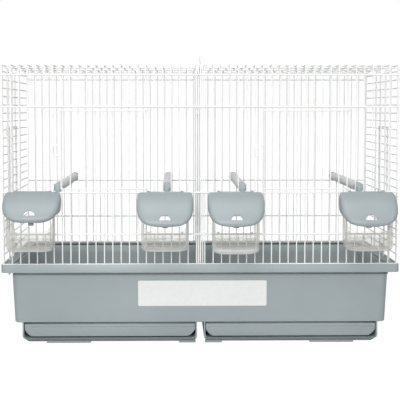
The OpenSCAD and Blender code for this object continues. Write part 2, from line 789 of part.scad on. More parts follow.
module feeder_hood(number, tip = 0) {
    tab_x = tab_pitches * wire_pitch;
    axis_z = rim_z + rail_h;
    low_z = rim_z + hood_top_h - hood_h;
    front = hood_back - hood_deep;
    translate([feeder_at[number] * wire_pitch + hood_slip[number], 0, 0]) turned_about(rail_h, -tip) {
        difference() {
            intersection() {
                along_y(front, hood_back) polygon(hood_outline());
                along_x(hood_w / 2) polygon(hood_profile(0, 0));
                translate([0, 0, low_z]) linear_extrude(hood_h)
                    polygon(tray_section(hood_w / 2, front, hood_back, hood_corner));
            }
            intersection() {
                along_y(front, hood_back + hood_t) polygon(hood_opening());
                along_x(hood_w / 2) polygon(hood_profile(hood_t, hood_t));
                translate([0, 0, low_z - hood_h]) linear_extrude(2 * hood_h)
                    polygon(tray_section(hood_w / 2 - hood_t, front + hood_t, hood_back + hood_t,
                        hood_corner - hood_t));
            }
            translate([0, 0, low_z + window_h]) along_y(front - hood_t, hood_back - hood_deep / 2)
                polygon(arc(0, 0, window_w / 2, 0, 180));
        }
        difference() {
            union() {
                for (x = [-tab_x, tab_x]) {
                    translate([x, rail_y, axis_z]) rotate([0, 90, 0])
                        cylinder(h = tab_w, d = tab_d, center = true, $fn = 32);
                    translate([x - tab_w / 2, hood_back - hood_t, rim_z + hood_top_h - hood_t])
                        cube([tab_w, rail_y - hood_back + hood_t, hood_t]);
                }
                translate([-tab_x, hood_back - hood_t, rim_z + hood_top_h - hood_t])
                    cube([2 * tab_x, hood_t, hood_t + hood_drop]);
            }
            translate([0, rail_y, axis_z]) rotate([0, 90, 0])
                cylinder(h = 2 * tab_x + 2 * tab_w, d = cross_d + 2 * tab_gap, center = true, $fn = 32);
        }
        translate([-tongue_w / 2, hood_back - tongue_deep, low_z - tongue_h])
            cube([tongue_w, hood_t, tongue_h + 2 * hood_t]);
        translate([-tongue_w / 2, front + hood_t / 2, low_z + hood_t])
            cube([tongue_w, hood_deep - tongue_deep + hood_t / 2, hood_t]);
    }
}

module feeder_hood_1() color(hood_grey) in_frame() feeder_hood(0, hood_1_tip);
module feeder_hood_2() color(hood_grey) in_frame() feeder_hood(1);
module feeder_hood_3() color(hood_grey) in_frame() feeder_hood(2);
module feeder_hood_4() color(hood_grey) in_frame() feeder_hood(3);

// ---- feeder cups: clear troughs that hang on the sill wire ----

module feeder_cup(number, tilt = 0) {
    half = cup_w / 2;
    front = cup_back - cup_deep;
    low = rim_z + cup_floor_h;
    high = rim_z + cup_cheek_h;
    hook_x = tab_pitches * wire_pitch;
    hook_z = rim_z + sill_h + cross_d / 2 + hook_gap;
    hook_y = rail_y + cross_d / 2 + hook_gap;
    cheek_run = cup_cheek_h - cup_lip_h;
    translate([feeder_at[number] * wire_pitch + cup_slip[number], 0, 0]) turned_about(sill_h, tilt) {
        difference() {
            intersection() {
                along_y(front, cup_back) polygon(tray_section(half, low, high, cup_r));
                along_x(half) polygon([[cup_back, low], [front, low], [front, rim_z + cup_lip_h],
                    [front + cheek_run, high], [cup_back, high]]);
                translate([0, 0, low]) linear_extrude(high - low)
                    polygon(tray_section(half, front, cup_back, cup_corner));
            }
            intersection() {
                along_y(front, cup_back - cup_t)
                    polygon(tray_section(half - cup_t, low + cup_base_t, high + cup_t, cup_r - cup_t));
                translate([0, 0, low]) linear_extrude(high - low + cup_t)
                    polygon(tray_section(half - cup_t, front + cup_t, cup_back - cup_t, cup_corner - cup_t));
            }
            translate([cup_t - half, cup_back - 2 * cup_t, hook_z])
                cube([cup_w - 2 * cup_t, 3 * cup_t, high - hook_z + cup_t]);
        }
        for (x = [-hook_x - tab_w / 2, hook_x - tab_w / 2]) {
            translate([x, cup_back - cup_t, hook_z - hook_t]) cube([tab_w, cup_t, 2 * hook_t]);
            translate([x, cup_back - cup_t, hook_z]) cube([tab_w, hook_y - cup_back + 2 * cup_t, hook_t]);
            translate([x, hook_y, hook_z - hook_tip]) cube([tab_w, cup_t, hook_tip + hook_t]);
        }
    }
}

module feeder_cup_1() color(clear_plastic) in_frame() feeder_cup(0);
module feeder_cup_2() color(clear_plastic) in_frame() feeder_cup(1);
module feeder_cup_3() color(clear_plastic) in_frame() feeder_cup(2, cup_3_tilt);
module feeder_cup_4() color(clear_plastic) in_frame() feeder_cup(3);

// ---- perches: their end tongues rest on the rail wires ----

module perch(at) {
    tongue_z = rim_z + rail_h + rest_h;
    body_end = mesh_y - wire_d / 2 - perch_gap;
    tongue_end = mesh_y + cross_out + cross_d / 2;
    translate([at * wire_pitch, 0, 0]) {
        translate([0, body_end, tongue_z + perch_d / 2 - perch_sink]) rotate([90, 0, 0])
            cylinder(h = 2 * body_end, d = perch_d, $fn = 48);
        translate([-perch_tongue / 2, -tongue_end, tongue_z])
            cube([perch_tongue, 2 * tongue_end, perch_tongue]);
    }
}

module perch_1() color(perch_grey) in_frame() perch(perch_at[0]);
module perch_2() color(perch_grey) in_frame() perch(perch_at[1]);
module perch_3() color(perch_grey) in_frame() perch(perch_at[2]);
module perch_4() color(perch_grey) in_frame() perch(perch_at[3]);

// ---- side clips: they turn on the lowest mesh row and hook under the rim ----

clip_eye_d = wire_d + 2 * eye_gap + 2 * clip_t;

module side_clip() {
    axis_z = rim_z + rest_h + wire_pitch;
    face = rim_half_w + clip_gap;
    hook_z = rim_z - rim_lip - clip_gap;
    difference() {
        union() {
            translate([row_x, 0, axis_z]) rotate([90, 0, 0])
                cylinder(h = clip_w, d = clip_eye_d, center = true, $fn = 32);
            along_y(-clip_w / 2, clip_w / 2) polygon([
                [row_x, axis_z], [row_x + clip_eye_d / 2, axis_z],
                [face + clip_t, rim_z + clip_knee], [face + clip_t, hook_z - clip_t],
                [face + clip_t + clip_lean, hook_z - clip_tab],
                [face + clip_lean, hook_z - clip_tab],
                [face - clip_hook, hook_z - clip_t], [face - clip_hook, hook_z],
                [face, hook_z], [face, rim_z + clip_knee - clip_t / 3],
                [row_x + clip_eye_d / 2 - clip_t, axis_z - clip_t]]);
        }
        translate([row_x, 0, axis_z]) rotate([90, 0, 0])
            cylinder(h = 2 * clip_w, d = wire_d + 2 * eye_gap, center = true, $fn = 32);
    }
}

module side_clip_left() color(clip_grey) in_frame() mirror([1, 0, 0]) side_clip();
module side_clip_right() color(clip_grey) in_frame() side_clip();

base_tub();
tub_floor();
divider_ribs();
drawer_bay_left();
drawer_bay_right();
label_plate();
floor_grille_left();
floor_grille_right();
drawer_left();
drawer_right();
front_grille();
back_grille();
side_grille_left();
side_grille_right();
side_guide_left();
side_guide_right();
roof_grille_left();
roof_grille_right();
front_door_left();
front_door_right();
side_door_left();
side_door_right();
divider();
feeder_hood_1();
feeder_hood_2();
feeder_hood_3();
feeder_hood_4();
feeder_cup_1();
feeder_cup_2();
feeder_cup_3();
feeder_cup_4();
perch_1();
perch_2();
perch_3();
perch_4();
side_clip_left();
side_clip_right();
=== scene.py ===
import math

import bmesh
import bpy
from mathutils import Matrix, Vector


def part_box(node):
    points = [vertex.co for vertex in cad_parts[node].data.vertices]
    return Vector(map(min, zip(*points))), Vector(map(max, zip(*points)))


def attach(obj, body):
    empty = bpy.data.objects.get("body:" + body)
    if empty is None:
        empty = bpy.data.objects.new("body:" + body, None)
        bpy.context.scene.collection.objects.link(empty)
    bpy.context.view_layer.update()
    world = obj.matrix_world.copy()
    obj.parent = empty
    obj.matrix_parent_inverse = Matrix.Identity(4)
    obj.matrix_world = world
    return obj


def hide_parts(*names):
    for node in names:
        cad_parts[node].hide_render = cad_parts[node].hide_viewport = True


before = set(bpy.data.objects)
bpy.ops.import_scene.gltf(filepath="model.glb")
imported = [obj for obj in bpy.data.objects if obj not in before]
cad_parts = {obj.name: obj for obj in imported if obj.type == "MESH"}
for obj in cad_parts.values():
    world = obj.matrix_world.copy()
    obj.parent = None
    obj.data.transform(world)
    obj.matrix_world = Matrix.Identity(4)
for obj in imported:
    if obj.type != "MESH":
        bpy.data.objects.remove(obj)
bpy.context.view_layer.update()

# ---- Base tub -------------------------------------------------------------------------
# One deep moulding in grey polypropylene: a tub with a turned-down rim, a ledged floor that is
# open over the drawers, ribs that guide the divider, and two drawer bays on a skirt with feet.

# Sizes are in millimetres, from the middle of the tub and up from the table; only MIDDLE_Y, the
# place of the tub's middle in the frame, is in metres.
tub_low, tub_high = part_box("base_tub")
MIDDLE_Y = (tub_low.y + tub_high.y) / 2
RIM = 118.8
RIM_HALF_W, RIM_HALF_D = 292.0, 155.0
TUB_FLOOR = 31.8
TUB_END = 138.0
WALL = 2.2
BAY_FLOOR = 8.9
BAY_OUTER, BAY_INNER, BAY_BACK = 263.2, 5.0, 135.8
PAD, PAD_HIGH = 6.6, 3.4


def linear(code):
    """An sRGB hex colour as the linear values that a socket takes."""
    parts = [int(code[i:i + 2], 16) / 255 for i in (1, 3, 5)]
    return [c / 12.92 if c <= 0.04045 else ((c + 0.055) / 1.055) ** 2.4 for c in parts] + [1.0]


def node(material, kind, inputs=None, **settings):
    """Adds a node, sets it up, and joins or fills its inputs."""
    tree = material.node_tree
    made = tree.nodes.new("ShaderNode" + kind)
    for name, value in settings.items():
        setattr(made, name, value)
    for name, value in (inputs or {}).items():
        if isinstance(value, bpy.types.NodeSocket):
            tree.links.new(value, made.inputs[name])
        else:
            made.inputs[name].default_value = value
    return made


def new_material(name, roughness, ior):
    """A new material, its shader and the object's own coordinates in metres."""
    material = bpy.data.materials.new(name)
    material.use_nodes = True
    shader = material.node_tree.nodes["Principled BSDF"]
    shader.inputs["Roughness"].default_value = roughness
    shader.inputs["IOR"].default_value = ior
    place = node(material, "TexCoord").outputs["Object"]
    return material, shader, place


def scale_for(size):
    """The scale of a pattern with features so many millimetres wide, to a whole number."""
    return round(1000 / size)


def tint(material, shader, amount, low, high):
    """Lets the base colour drift between two hex colours with a pattern."""
    ramp = node(material, "ValToRGB", {"Fac": amount})
    ramp.color_ramp.elements[0].color = linear(low)
    ramp.color_ramp.elements[1].color = linear(high)
    material.node_tree.links.new(ramp.outputs["Color"], shader.inputs["Base Color"])


def relief(material, shader, height, depth):
    """Raises the surface by a pattern, to a depth in metres."""
    bump = node(material, "Bump", {"Height": height, "Distance": depth, "Strength": 1.0})
    material.node_tree.links.new(bump.outputs["Normal"], shader.inputs["Normal"])


# Polypropylene, injection moulded: satin, with a spark-eroded grain that softens the highlights,
# and a slow drift of tone from the way the melt filled the mould. The real grain is some 0.2 mm
# wide; it is drawn at 0.7 mm so that it shows from close by.
GRAIN, FLOW = 0.7143, 71.43
tub_plastic, shader, place = new_material("moulded_polypropylene_grey", 0.42, 1.49)
grain = node(tub_plastic, "TexNoise", {"Vector": place, "Scale": scale_for(GRAIN), "Detail": 2.0})
flow = node(tub_plastic, "TexNoise", {"Vector": place, "Scale": scale_for(FLOW), "Detail": 3.0})
tint(tub_plastic, shader, flow.outputs["Fac"], "#9ca6a8", "#a9b2b4")
relief(tub_plastic, shader, grain.outputs["Fac"], 0.00008)


def skin(shape, rings, around=True, start=False, end=False):
    """Joins rings of points, in order, with four-sided faces, and closes the ends if asked."""
    points, faces = shape
    first = len(points)
    count = len(rings[0])
    for ring in rings:
        points.extend(ring)
    for r in range(len(rings) - 1):
        for k in range(count if around else count - 1):
            a, b = first + r * count + k, first + r * count + (k + 1) % count
            faces.append((a, b, b + count, a + count))
    if start:
        faces.append(tuple(first + k for k in reversed(range(count))))
    if end:
        last = first + (len(rings) - 1) * count
        faces.append(tuple(last + k for k in range(count)))


def round_rect(half_w, half_d, r, z, steps=6):
    """A level ring round a rectangle with round corners."""
    ring = []
    for corner, (sx, sy) in enumerate(((1, 1), (-1, 1), (-1, -1), (1, -1))):
        for k in range(steps + 1):
            a = math.radians(90 * (corner + k / steps))
            ring.append((sx * (half_w - r) + r * math.cos(a),
                         sy * (half_d - r) + r * math.sin(a), z))
    return ring


def block(shape, x0, x1, y0, y1, z0, z1, r=0.4):
    """A moulded block with its upright edges and its top and bottom edges eased."""
    cx, cy = (x0 + x1) / 2, (y0 + y1) / 2
    hw, hd = abs(x1 - x0) / 2, abs(y1 - y0) / 2
    rings = [round_rect(hw - r, hd - r, r * 0.6, z0, 2), round_rect(hw, hd, r, z0 + r, 2),
             round_rect(hw, hd, r, z1 - r, 2), round_rect(hw - r, hd - r, r * 0.6, z1, 2)]
    skin(shape, [[(x + cx, y + cy, z) for x, y, z in ring] for ring in rings], start=True, end=True)


def piece(name, shape, material, body, hides=(), sharp=40):
    """Makes the mesh in metres, in the place that the frame gives, riding on its body. Edges
    that turn by more than the sharp angle, in degrees, stay crisp."""
    points, faces = shape
    mesh = bpy.data.meshes.new(name)
    mesh.from_pydata([(x / 1000, y / 1000 + MIDDLE_Y, z / 1000) for x, y, z in points], [], faces)
    solid = bmesh.new()
    solid.from_mesh(mesh)
    bmesh.ops.remove_doubles(solid, verts=solid.verts, dist=0.000001)
    bmesh.ops.recalc_face_normals(solid, faces=solid.faces)
    solid.to_mesh(mesh)
    solid.free()
    mesh.shade_smooth()
    mesh.set_sharp_from_angle(angle=math.radians(sharp))
    mesh.materials.append(material)
    made = bpy.data.objects.new(name, mesh)
    bpy.context.scene.collection.objects.link(made)
    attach(made, body)
    if hides:
        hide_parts(*hides)
    return made


tub = ([], [])
# Rings round the tub as (inset from the rim's edge, corner radius, height): up the outside, under
# and round the turned-down lip, over the rim, and down the inside past the groove that stiffens it
MID_WALL = 77
GROOVE_W, GROOVE_D = 277.2, 147.0
outside = [(28, 6, TUB_FLOOR), (18.4, 9, TUB_FLOOR), (17.2, 10, TUB_FLOOR + 0.7),
           (16.9, 11, TUB_FLOOR + 4), (15.1, 11, MID_WALL), (14, 11, RIM - 15.4),
           (14.4, 11, RIM - 14.9), (16.3, 10, RIM - 14.7)]
under_rim = [(16.3, 10, RIM - 7), (6, 8, RIM - 6.6), (2.6, 7, RIM - 5), (2.2, 7, RIM - 10.4)]
lip = [(2, 7, RIM - 10.9), (0.4, 8, RIM - 10.9), (0, 8, RIM - 10.3), (0, 8, RIM - 8),
       (0.1, 8, RIM + 0.4)]
over_rim = [(0.5, 7.6, RIM + 1.3), (0.9, 7.2, RIM + 1.5), (1.1, 7, RIM + 1.2),
            (1.4, 6.6, RIM + 0.2), (2.2, 6, RIM), (14, 10, RIM), (15, 9.4, RIM - 0.3),
            (15, 9, RIM - 0.7)]
inside = [(16.8, 9, RIM - 3.3), (17.8, 9, RIM - 5), (18, 9, RIM - 17), (17.4, 9, MID_WALL),
          (19, 8, TUB_FLOOR + 5), (20.4, 6, TUB_FLOOR + 2.6), (22.4, 4, TUB_FLOOR + WALL)]


def tub_rings(profile):
    """Rings round the tub from (inset from the rim's edge, corner radius, height)."""
    return [round_rect(RIM_HALF_W - inset, RIM_HALF_D - inset, r, z) for inset, r, z in profile]


groove = [round_rect(GROOVE_W, GROOVE_D, 9, z) for z in (RIM - 0.9, RIM - 3.1)]
skin(tub, tub_rings(outside + under_rim + lip + over_rim) + groove + tub_rings(inside))

# Floor ledges round the two openings over the drawers
FLOOR_TOP = TUB_FLOOR + WALL
OPEN_IN, OPEN_OUT, OPEN_FRONT, OPEN_BACK = 11.2, 257.0, -127.5, 125.3
LEDGE_END, LEDGE_SIDE, OVERLAP = 135.0, 271.5, 0.4
block(tub, -OPEN_IN, OPEN_IN, -LEDGE_END, LEDGE_END, TUB_FLOOR, FLOOR_TOP)
for side in (-1, 1):
    x0, x1 = side * (OPEN_IN - OVERLAP), side * (OPEN_OUT + OVERLAP)
    block(tub, side * OPEN_OUT, side * LEDGE_SIDE, -LEDGE_END, LEDGE_END, TUB_FLOOR, FLOOR_TOP)
    block(tub, x0, x1, OPEN_BACK, LEDGE_END, TUB_FLOOR, FLOOR_TOP)
    block(tub, x0, x1, -LEDGE_END, OPEN_FRONT, TUB_FLOOR, FLOOR_TOP)

# Guide ribs for the divider, front and back, drawn in towards the bottom like the wall
RIB_INNER, RIB_OUTER, RIB_DRAFT = 1.7, 3.7, 0.2
for side in (-1, 1):
    for end in (-1, 1):
        rings = []
        for z, root, tip in ((FLOOR_TOP, 136, 130.8), (RIM - 4.5, 138, 133.2)):
            rings.append([(side * RIB_INNER, end * root, z), (side * RIB_OUTER, end * root, z),
                          (side * (RIB_OUTER - RIB_DRAFT), end * tip, z),
                          (side * (RIB_INNER + RIB_DRAFT), end * tip, z)])
        skin(tub, rings, end=True)

# A rib under the front ledge, close over the drawers, keeps the light out of the gap
for side in (-1, 1):
    block(tub, side * (BAY_INNER + 2.6), side * (BAY_OUTER - 2.6), -129.6, -128.4,
          TUB_FLOOR - 1.9, TUB_FLOOR + 0.5, 0.3)

# Drawer bays: side walls whose lower corners are cut off, a bottom, a skirt that leans in under
# the drawer, and foot pads
BAY_TOP = TUB_FLOOR + 0.4
for side in (-1, 1):
    outline = [(BAY_INNER, BAY_TOP), (BAY_INNER, 10.4), (BAY_INNER + 1, 7.3),
               (BAY_INNER + 5.5, 2.2), (BAY_INNER + 7.5, 1.6), (BAY_OUTER - 9.5, 1.6),
               (BAY_OUTER - 7.5, 2.2), (BAY_OUTER - 1, 8.9), (BAY_OUTER, 11.4),
               (BAY_OUTER, BAY_TOP), (BAY_OUTER - WALL, BAY_TOP), (BAY_OUTER - WALL, 13.9),
               (BAY_OUTER - WALL - 1.2, 10.3), (BAY_OUTER - WALL - 4.5, BAY_FLOOR),
               (BAY_INNER + WALL + 4.5, BAY_FLOOR), (BAY_INNER + WALL + 1.2, 10.3),
               (BAY_INNER + WALL, 13.9), (BAY_INNER + WALL, BAY_TOP)]
    count = len(outline)
    base = len(tub[0])
    skin(tub, [[(side * x, -TUB_END + 1.7 * max(0, 8.2 - z), z) for x, z in outline],
               [(side * x, BAY_BACK, z) for x, z in outline]])
    # Both ends are closed in strips between the outside and the inside of the outline
    for k in range(count // 2):
        c, d = count - 2 - k, count - 1 - k
        tub[1].append((base + k, base + k + 1, base + c, base + d))
        tub[1].append((base + count + d, base + count + c, base + count + k + 1, base + count + k))
    block(tub, side * (BAY_INNER + 0.3), side * (BAY_OUTER - 0.3), BAY_BACK - WALL, BAY_BACK,
          2.7, TUB_FLOOR)
    for x0, x1 in ((BAY_INNER + 2, BAY_INNER + 27), (BAY_OUTER - 100, BAY_OUTER - 35)):
        for y0 in (-132, BAY_BACK - PAD):
            block(tub, side * x0, side * x1, y0, y0 + PAD, 0, PAD_HIGH, 0.3)
piece("tub_moulding", tub, tub_plastic, "cage",
      ["base_tub", "tub_floor", "divider_ribs", "drawer_bay_left", "drawer_bay_right"], 32)

# ---- Label ----------------------------------------------------------------------------
# A blank white film with round corners, stuck flat on the front wall of the tub and leaning
# with it. Nothing is printed on it: it is only the film, with a soft gloss.

# Polypropylene label film, plain white: smooth, a little shinier than the moulding, with the
# faint ripple of the glue under it.
GLUE_RIPPLE = 6.25
label_film, shader, place = new_material("white_label_film", 0.3, 1.49)
ripple = node(label_film, "TexNoise",
              {"Vector": place, "Scale": scale_for(GLUE_RIPPLE), "Detail": 2.0})
tint(label_film, shader, ripple.outputs["Fac"], "#eceeed", "#f6f7f6")
relief(label_film, shader, ripple.outputs["Fac"], 0.00004)

label = ([], [])
LABEL_X, LABEL_TOP, LABEL_W, LABEL_H = 2.8, RIM - 24.5, 190.0, 38.0
WALL_LEAN = 3.5 / (RIM - TUB_FLOOR)
film = []
for out, size in ((0.1, 1), (0.42, 1), (0.5, 0.998)):
    film.append([(x * size + LABEL_X,
                  -TUB_END - (z + LABEL_TOP - LABEL_H / 2 - TUB_FLOOR) * WALL_LEAN - out,
                  z + LABEL_TOP - LABEL_H / 2)
                 for x, z, _ in round_rect(LABEL_W / 2, LABEL_H / 2, 2, 0)])
skin(label, film[:2], start=True, end=True)
skin(label, film[2:], end=True)
piece("label_sheet", label, label_film, "cage", ["label_plate"])

# ---- Drawers --------------------------------------------------------------------------
# Two shallow trays in the same grey polypropylene, pulled out to the front. The front is thicker,
# with a raised lip along its top that the fingers catch, and the lower corners are round.

DRAWER_HALF, DRAWER_MID, DRAWER_Z0, DRAWER_Z1 = 126.1, 134.1, 9.3, 29.5
DRAWER_END, DRAWER_WALL, DRAWER_CORNER, LIP_HIGH = 128.0, 2.0, 10.0, 4.6
# How round the lower corners are, from a straight cut at 0 to a full arc at 1
ROUNDNESS = 0.45


def tray_outline(half, low, high, r, y, steps=6):
    """A tray's section from its left top edge to its right one; the lower corners are flattened."""
    ring = [(-half, y, high)]
    for centre, start in ((-half + r, 180), (half - r, 270)):
        for k in range(steps + 1):
            t = k / steps
            a = math.radians(start + 90 * t)
            x, z = centre + r * math.cos(a), low + r + r * math.sin(a)
            chord_x = centre - r + r * t if start == 180 else centre + r * t
            chord_z = low + r - r * t if start == 180 else low + r * t
            ring.append((x * ROUNDNESS + chord_x * (1 - ROUNDNESS), y,
                         z * ROUNDNESS + chord_z * (1 - ROUNDNESS)))
    ring.append((half, y, high))
    return ring


for side, k in (("left", -1), ("right", 1)):
    tray = ([], [])
    # The front plate stands a little clear of the skirt under it
    plate = [tray_outline(DRAWER_HALF - inset, DRAWER_Z0 + 1.5 + inset, DRAWER_Z1 - inset, 10.5, y)
             for y, inset in ((-137.2, 0.7), (-136.9, 0.2), (-136.4, 0), (-135, 0))]
    skin(tray, plate, start=True, end=True)
    block(tray, -DRAWER_HALF + 0.3, DRAWER_HALF - 0.3, -TUB_END, -135.6,
          DRAWER_Z1 - LIP_HIGH, DRAWER_Z1, 0.9)
    # The tray behind it: walls, a floor that rises a little to the front plate, and the back
    run = ((-135.4, 1.5), (-DRAWER_END, 1.5), (2 - DRAWER_END, 0), (DRAWER_END, 0))
    walls = [tray_outline(DRAWER_HALF, DRAWER_Z0 + rise, DRAWER_Z1, DRAWER_CORNER, y)
             for y, rise in run]
    walls += [tray_outline(DRAWER_HALF - DRAWER_WALL, DRAWER_Z0 + rise + DRAWER_WALL, DRAWER_Z1,
                           DRAWER_CORNER - DRAWER_WALL, y) for y, rise in reversed(run)]
    skin(tray, walls + walls[:1], around=False)
    for corner in (0, -1):
        first = len(tray[0])
        tray[0].extend(ring[corner] for ring in walls)
        for a in range(len(run) - 1):
            tray[1].append((first + a, first + a + 1, first + 6 - a, first + 7 - a))
    back = [tray_outline(DRAWER_HALF - 0.5, DRAWER_Z0 + 0.5, DRAWER_Z1, 9.5, y)
            for y in (126, 127.8)]
    skin(tray, back, start=True, end=True)
    tray = ([(x + k * DRAWER_MID, y, z) for x, y, z in tray[0]], tray[1])
    body = "drawer_" + side
    piece("drawer_tray_" + side, tray, tub_plastic, body, [body])

# ---- Wire floors ----------------------------------------------------------------------
# Two loose panels of welded steel wire that lie over the drawer openings: thin wires from front
# to back on thicker frame wires, all with the same white coating as the cage.

PITCH, WIRE, BAR = 12.24, 1.8, 2.5
GRILLE_Z = FLOOR_TOP + 0.1 + BAR / 2
GRILLE_IN, GRILLE_OUT, GRILLE_END, GRILLE_BAR = 6.2, 270.3, 133.3, 2.4

# Polyester powder coat on steel: white, half gloss, with a fine orange peel, and a trace of warm
# tone where the coat runs thin.
PEEL, THIN = 1.111, 16.67
wire_coat, shader, place = new_material("white_powder_coat_on_steel", 0.36, 1.5)
shader.inputs["Coat Weight"].default_value = 0.15
shader.inputs["Coat Roughness"].default_value = 0.25
peel = node(wire_coat, "TexNoise", {"Vector": place, "Scale": scale_for(PEEL), "Detail": 2.0})
thin = node(wire_coat, "TexNoise", {"Vector": place, "Scale": scale_for(THIN), "Detail": 3.0})
tint(wire_coat, shader, thin.outputs["Fac"], "#f6f7f5", "#fdfefd")
relief(wire_coat, shader, peel.outputs["Fac"], 0.00005)


def rounded(path, r, steps=4):
    """Bends a path of straight runs round each of its corners with a radius."""
    made = [Vector(path[0])]
    for a, b, c in zip(path, path[1:], path[2:]):
        a, b, c = Vector(a), Vector(b), Vector(c)
        before, after = (a - b).normalized(), (c - b).normalized()
        turn = before.angle(after)
        run = min(r / math.tan(turn / 2), (a - b).length / 2.01, (c - b).length / 2.01)
        start, finish = b + before * run, b + after * run
        for k in range(steps + 1):
            t = k / steps
            made.append(start * (1 - t) ** 2 + b * 2 * t * (1 - t) + finish * t ** 2)
    made.append(Vector(path[-1]))
    return made


def rod(shape, path, d, sides=8, closed=False):
    """Runs a round rod along a path; its ends are cut square."""
    path = [Vector(p) for p in path]
    count = len(path)
    along = (path[1] - path[0]).normalized()
    up = Vector((0, 0, 1)) if abs(along.z) < 0.9 else Vector((0, 1, 0))
    side = along.cross(up).normalized()
    rings = []
    for k, p in enumerate(path):
        ahead = path[(k + 1) % count] - p if closed or k < count - 1 else p - path[k - 1]
        behind = p - path[k - 1] if closed or k > 0 else ahead
        mid = (ahead.normalized() + behind.normalized()).normalized()
        side = (side - mid * side.dot(mid)).normalized()
        other = mid.cross(side)
        ring = []
        for n in range(sides):
            a = 2 * math.pi * (n + 0.5) / sides
            ring.append(tuple(p + (side * math.cos(a) + other * math.sin(a)) * d / 2))
        rings.append(ring)
    if closed:
        skin(shape, rings + rings[:1])
    else:
        skin(shape, rings, start=True, end=True)


for side, k in (("left", -1), ("right", 1)):
    grille = ([], [])
    for y in (-GRILLE_END + BAR / 2, -GRILLE_END / 3, GRILLE_END / 3, GRILLE_END - BAR / 2):
        rod(grille, [(k * GRILLE_IN, y, GRILLE_Z), (k * GRILLE_OUT, y, GRILLE_Z)], GRILLE_BAR)
    width, top = GRILLE_OUT - GRILLE_IN - WIRE, GRILLE_Z + 2.1
    count = int(width // PITCH)
    for n in range(count + 1):
        x = GRILLE_IN + WIRE / 2 + n * width / count
        rod(grille, [(k * x, -GRILLE_END, top), (k * x, GRILLE_END, top)], WIRE, 6)
    piece("floor_wires_" + side, grille, wire_coat, "cage", ["floor_grille_" + side])

# ---- Wire top: front, roof and back ----------------------------------------------------
# Upright wires run up the front, bend over the roof and come down the back in one length, with
# thicker cross wires spot welded on the outside. Wires stop short round the doors and feeders.

UPRIGHTS = 48
MESH_Y, ROOF = 150.0, RIM + 291
MESH_X = (UPRIGHTS - 1) / 2 * PITCH
CROSS_Y = MESH_Y + 2.17
SILL, RAIL, HEAD, SHOULDER = RIM + 45.4, RIM + 106.4, RIM + 231.4, RIM + 277.5
FEEDERS = [-20 * PITCH, -4 * PITCH, 4 * PITCH, 20 * PITCH]
DOORS = {"left": -11.5 * PITCH, "right": 12.5 * PITCH}
BEND = 5.0
FOOT_GAP = 0.1
SLOT_X = 3.1


def weld(shape, x, y, z, along, r=1.3):
    """A small fillet of coating where two wires are welded across each other."""
    rings = []
    for out, wide in ((-1.0, 0.35), (-0.4, 0.95), (0.4, 0.95), (1.0, 0.35)):
        ring = []
        for n in range(6):
            a = 2 * math.pi * n / 6
            u, v = wide * r * math.cos(a), wide * r * math.sin(a)
            ring.append({"x": (x + out * r, y + u, z + v), "y": (x + u, y + out * r, z + v)}[along])
        rings.append(ring)
    skin(shape, rings, start=True, end=True)


mesh = ([], [])
for n in range(UPRIGHTS):
    x = n * PITCH - MESH_X
    foot = start = RIM + FOOT_GAP
    in_feeder = any(abs(x - at) < 2.4 * PITCH for at in FEEDERS)
    in_door = any(abs(x - at) < 4.9 * PITCH for at in DOORS.values())
    if in_feeder:
        rod(mesh, [(x, -MESH_Y, foot), (x, -MESH_Y, SILL + BAR / 2)], WIRE)
        start = RAIL - BAR / 2
    if in_door:
        rod(mesh, [(x, -MESH_Y, start), (x, -MESH_Y, RAIL + BAR / 2)], WIRE)
        start = HEAD - BAR / 2
    path = [(x, -MESH_Y, start), (x, -MESH_Y, ROOF), (x, MESH_Y, ROOF), (x, MESH_Y, foot)]
    rod(mesh, rounded(path, BEND), WIRE)
# Pairs of wires in the middle of the front and the back guide the divider
for k in (-1, 1):
    for y in (-MESH_Y, MESH_Y):
        rod(mesh, [(k * SLOT_X, y, RIM + FOOT_GAP), (k * SLOT_X, y, ROOF + 0.8)], WIRE)
piece("bent_mesh_wires", mesh, wire_coat, "cage",
      ["front_grille", "back_grille", "roof_grille_left", "roof_grille_right"])

bars = ([], [])
LOWEST = RIM + FOOT_GAP + BAR / 2
BAR_END, ROOF_BAR = MESH_X + WIRE / 2, ROOF - 2.1
for z in (LOWEST, SILL, RAIL, HEAD, SHOULDER):
    for k in (-1, 1):
        rod(bars, [(-BAR_END, k * CROSS_Y, z), (BAR_END, k * CROSS_Y, z)], BAR, 10)
# The bars of the roof stop at the slot for the divider
for k in (-1, 1):
    for y in (-118, 0, 118):
        rod(bars, [(k * (PITCH - WIRE) / 2, y, ROOF_BAR), (k * BAR_END, y, ROOF_BAR)], BAR, 10)
for n in range(UPRIGHTS):
    x = n * PITCH - MESH_X
    for k in (-1, 1):
        for z in (SILL, RAIL, HEAD, SHOULDER):
            weld(bars, x, k * (MESH_Y + 1.0), z, "x")
piece("welded_cross_wires", bars, wire_coat, "cage")

# ---- Wire top: sides -------------------------------------------------------------------
# Each end is a flat panel: five uprights with a cross wire at every pitch, left open for the
# door, and two guide rods on stubs outside, on which the door slides up.

SIDE_ROW_X, GUIDE_X = 289.81, 294.5
SIDE_END, DOOR_HALF, SIDE_STAY = 148.85, 43.5, -88.0
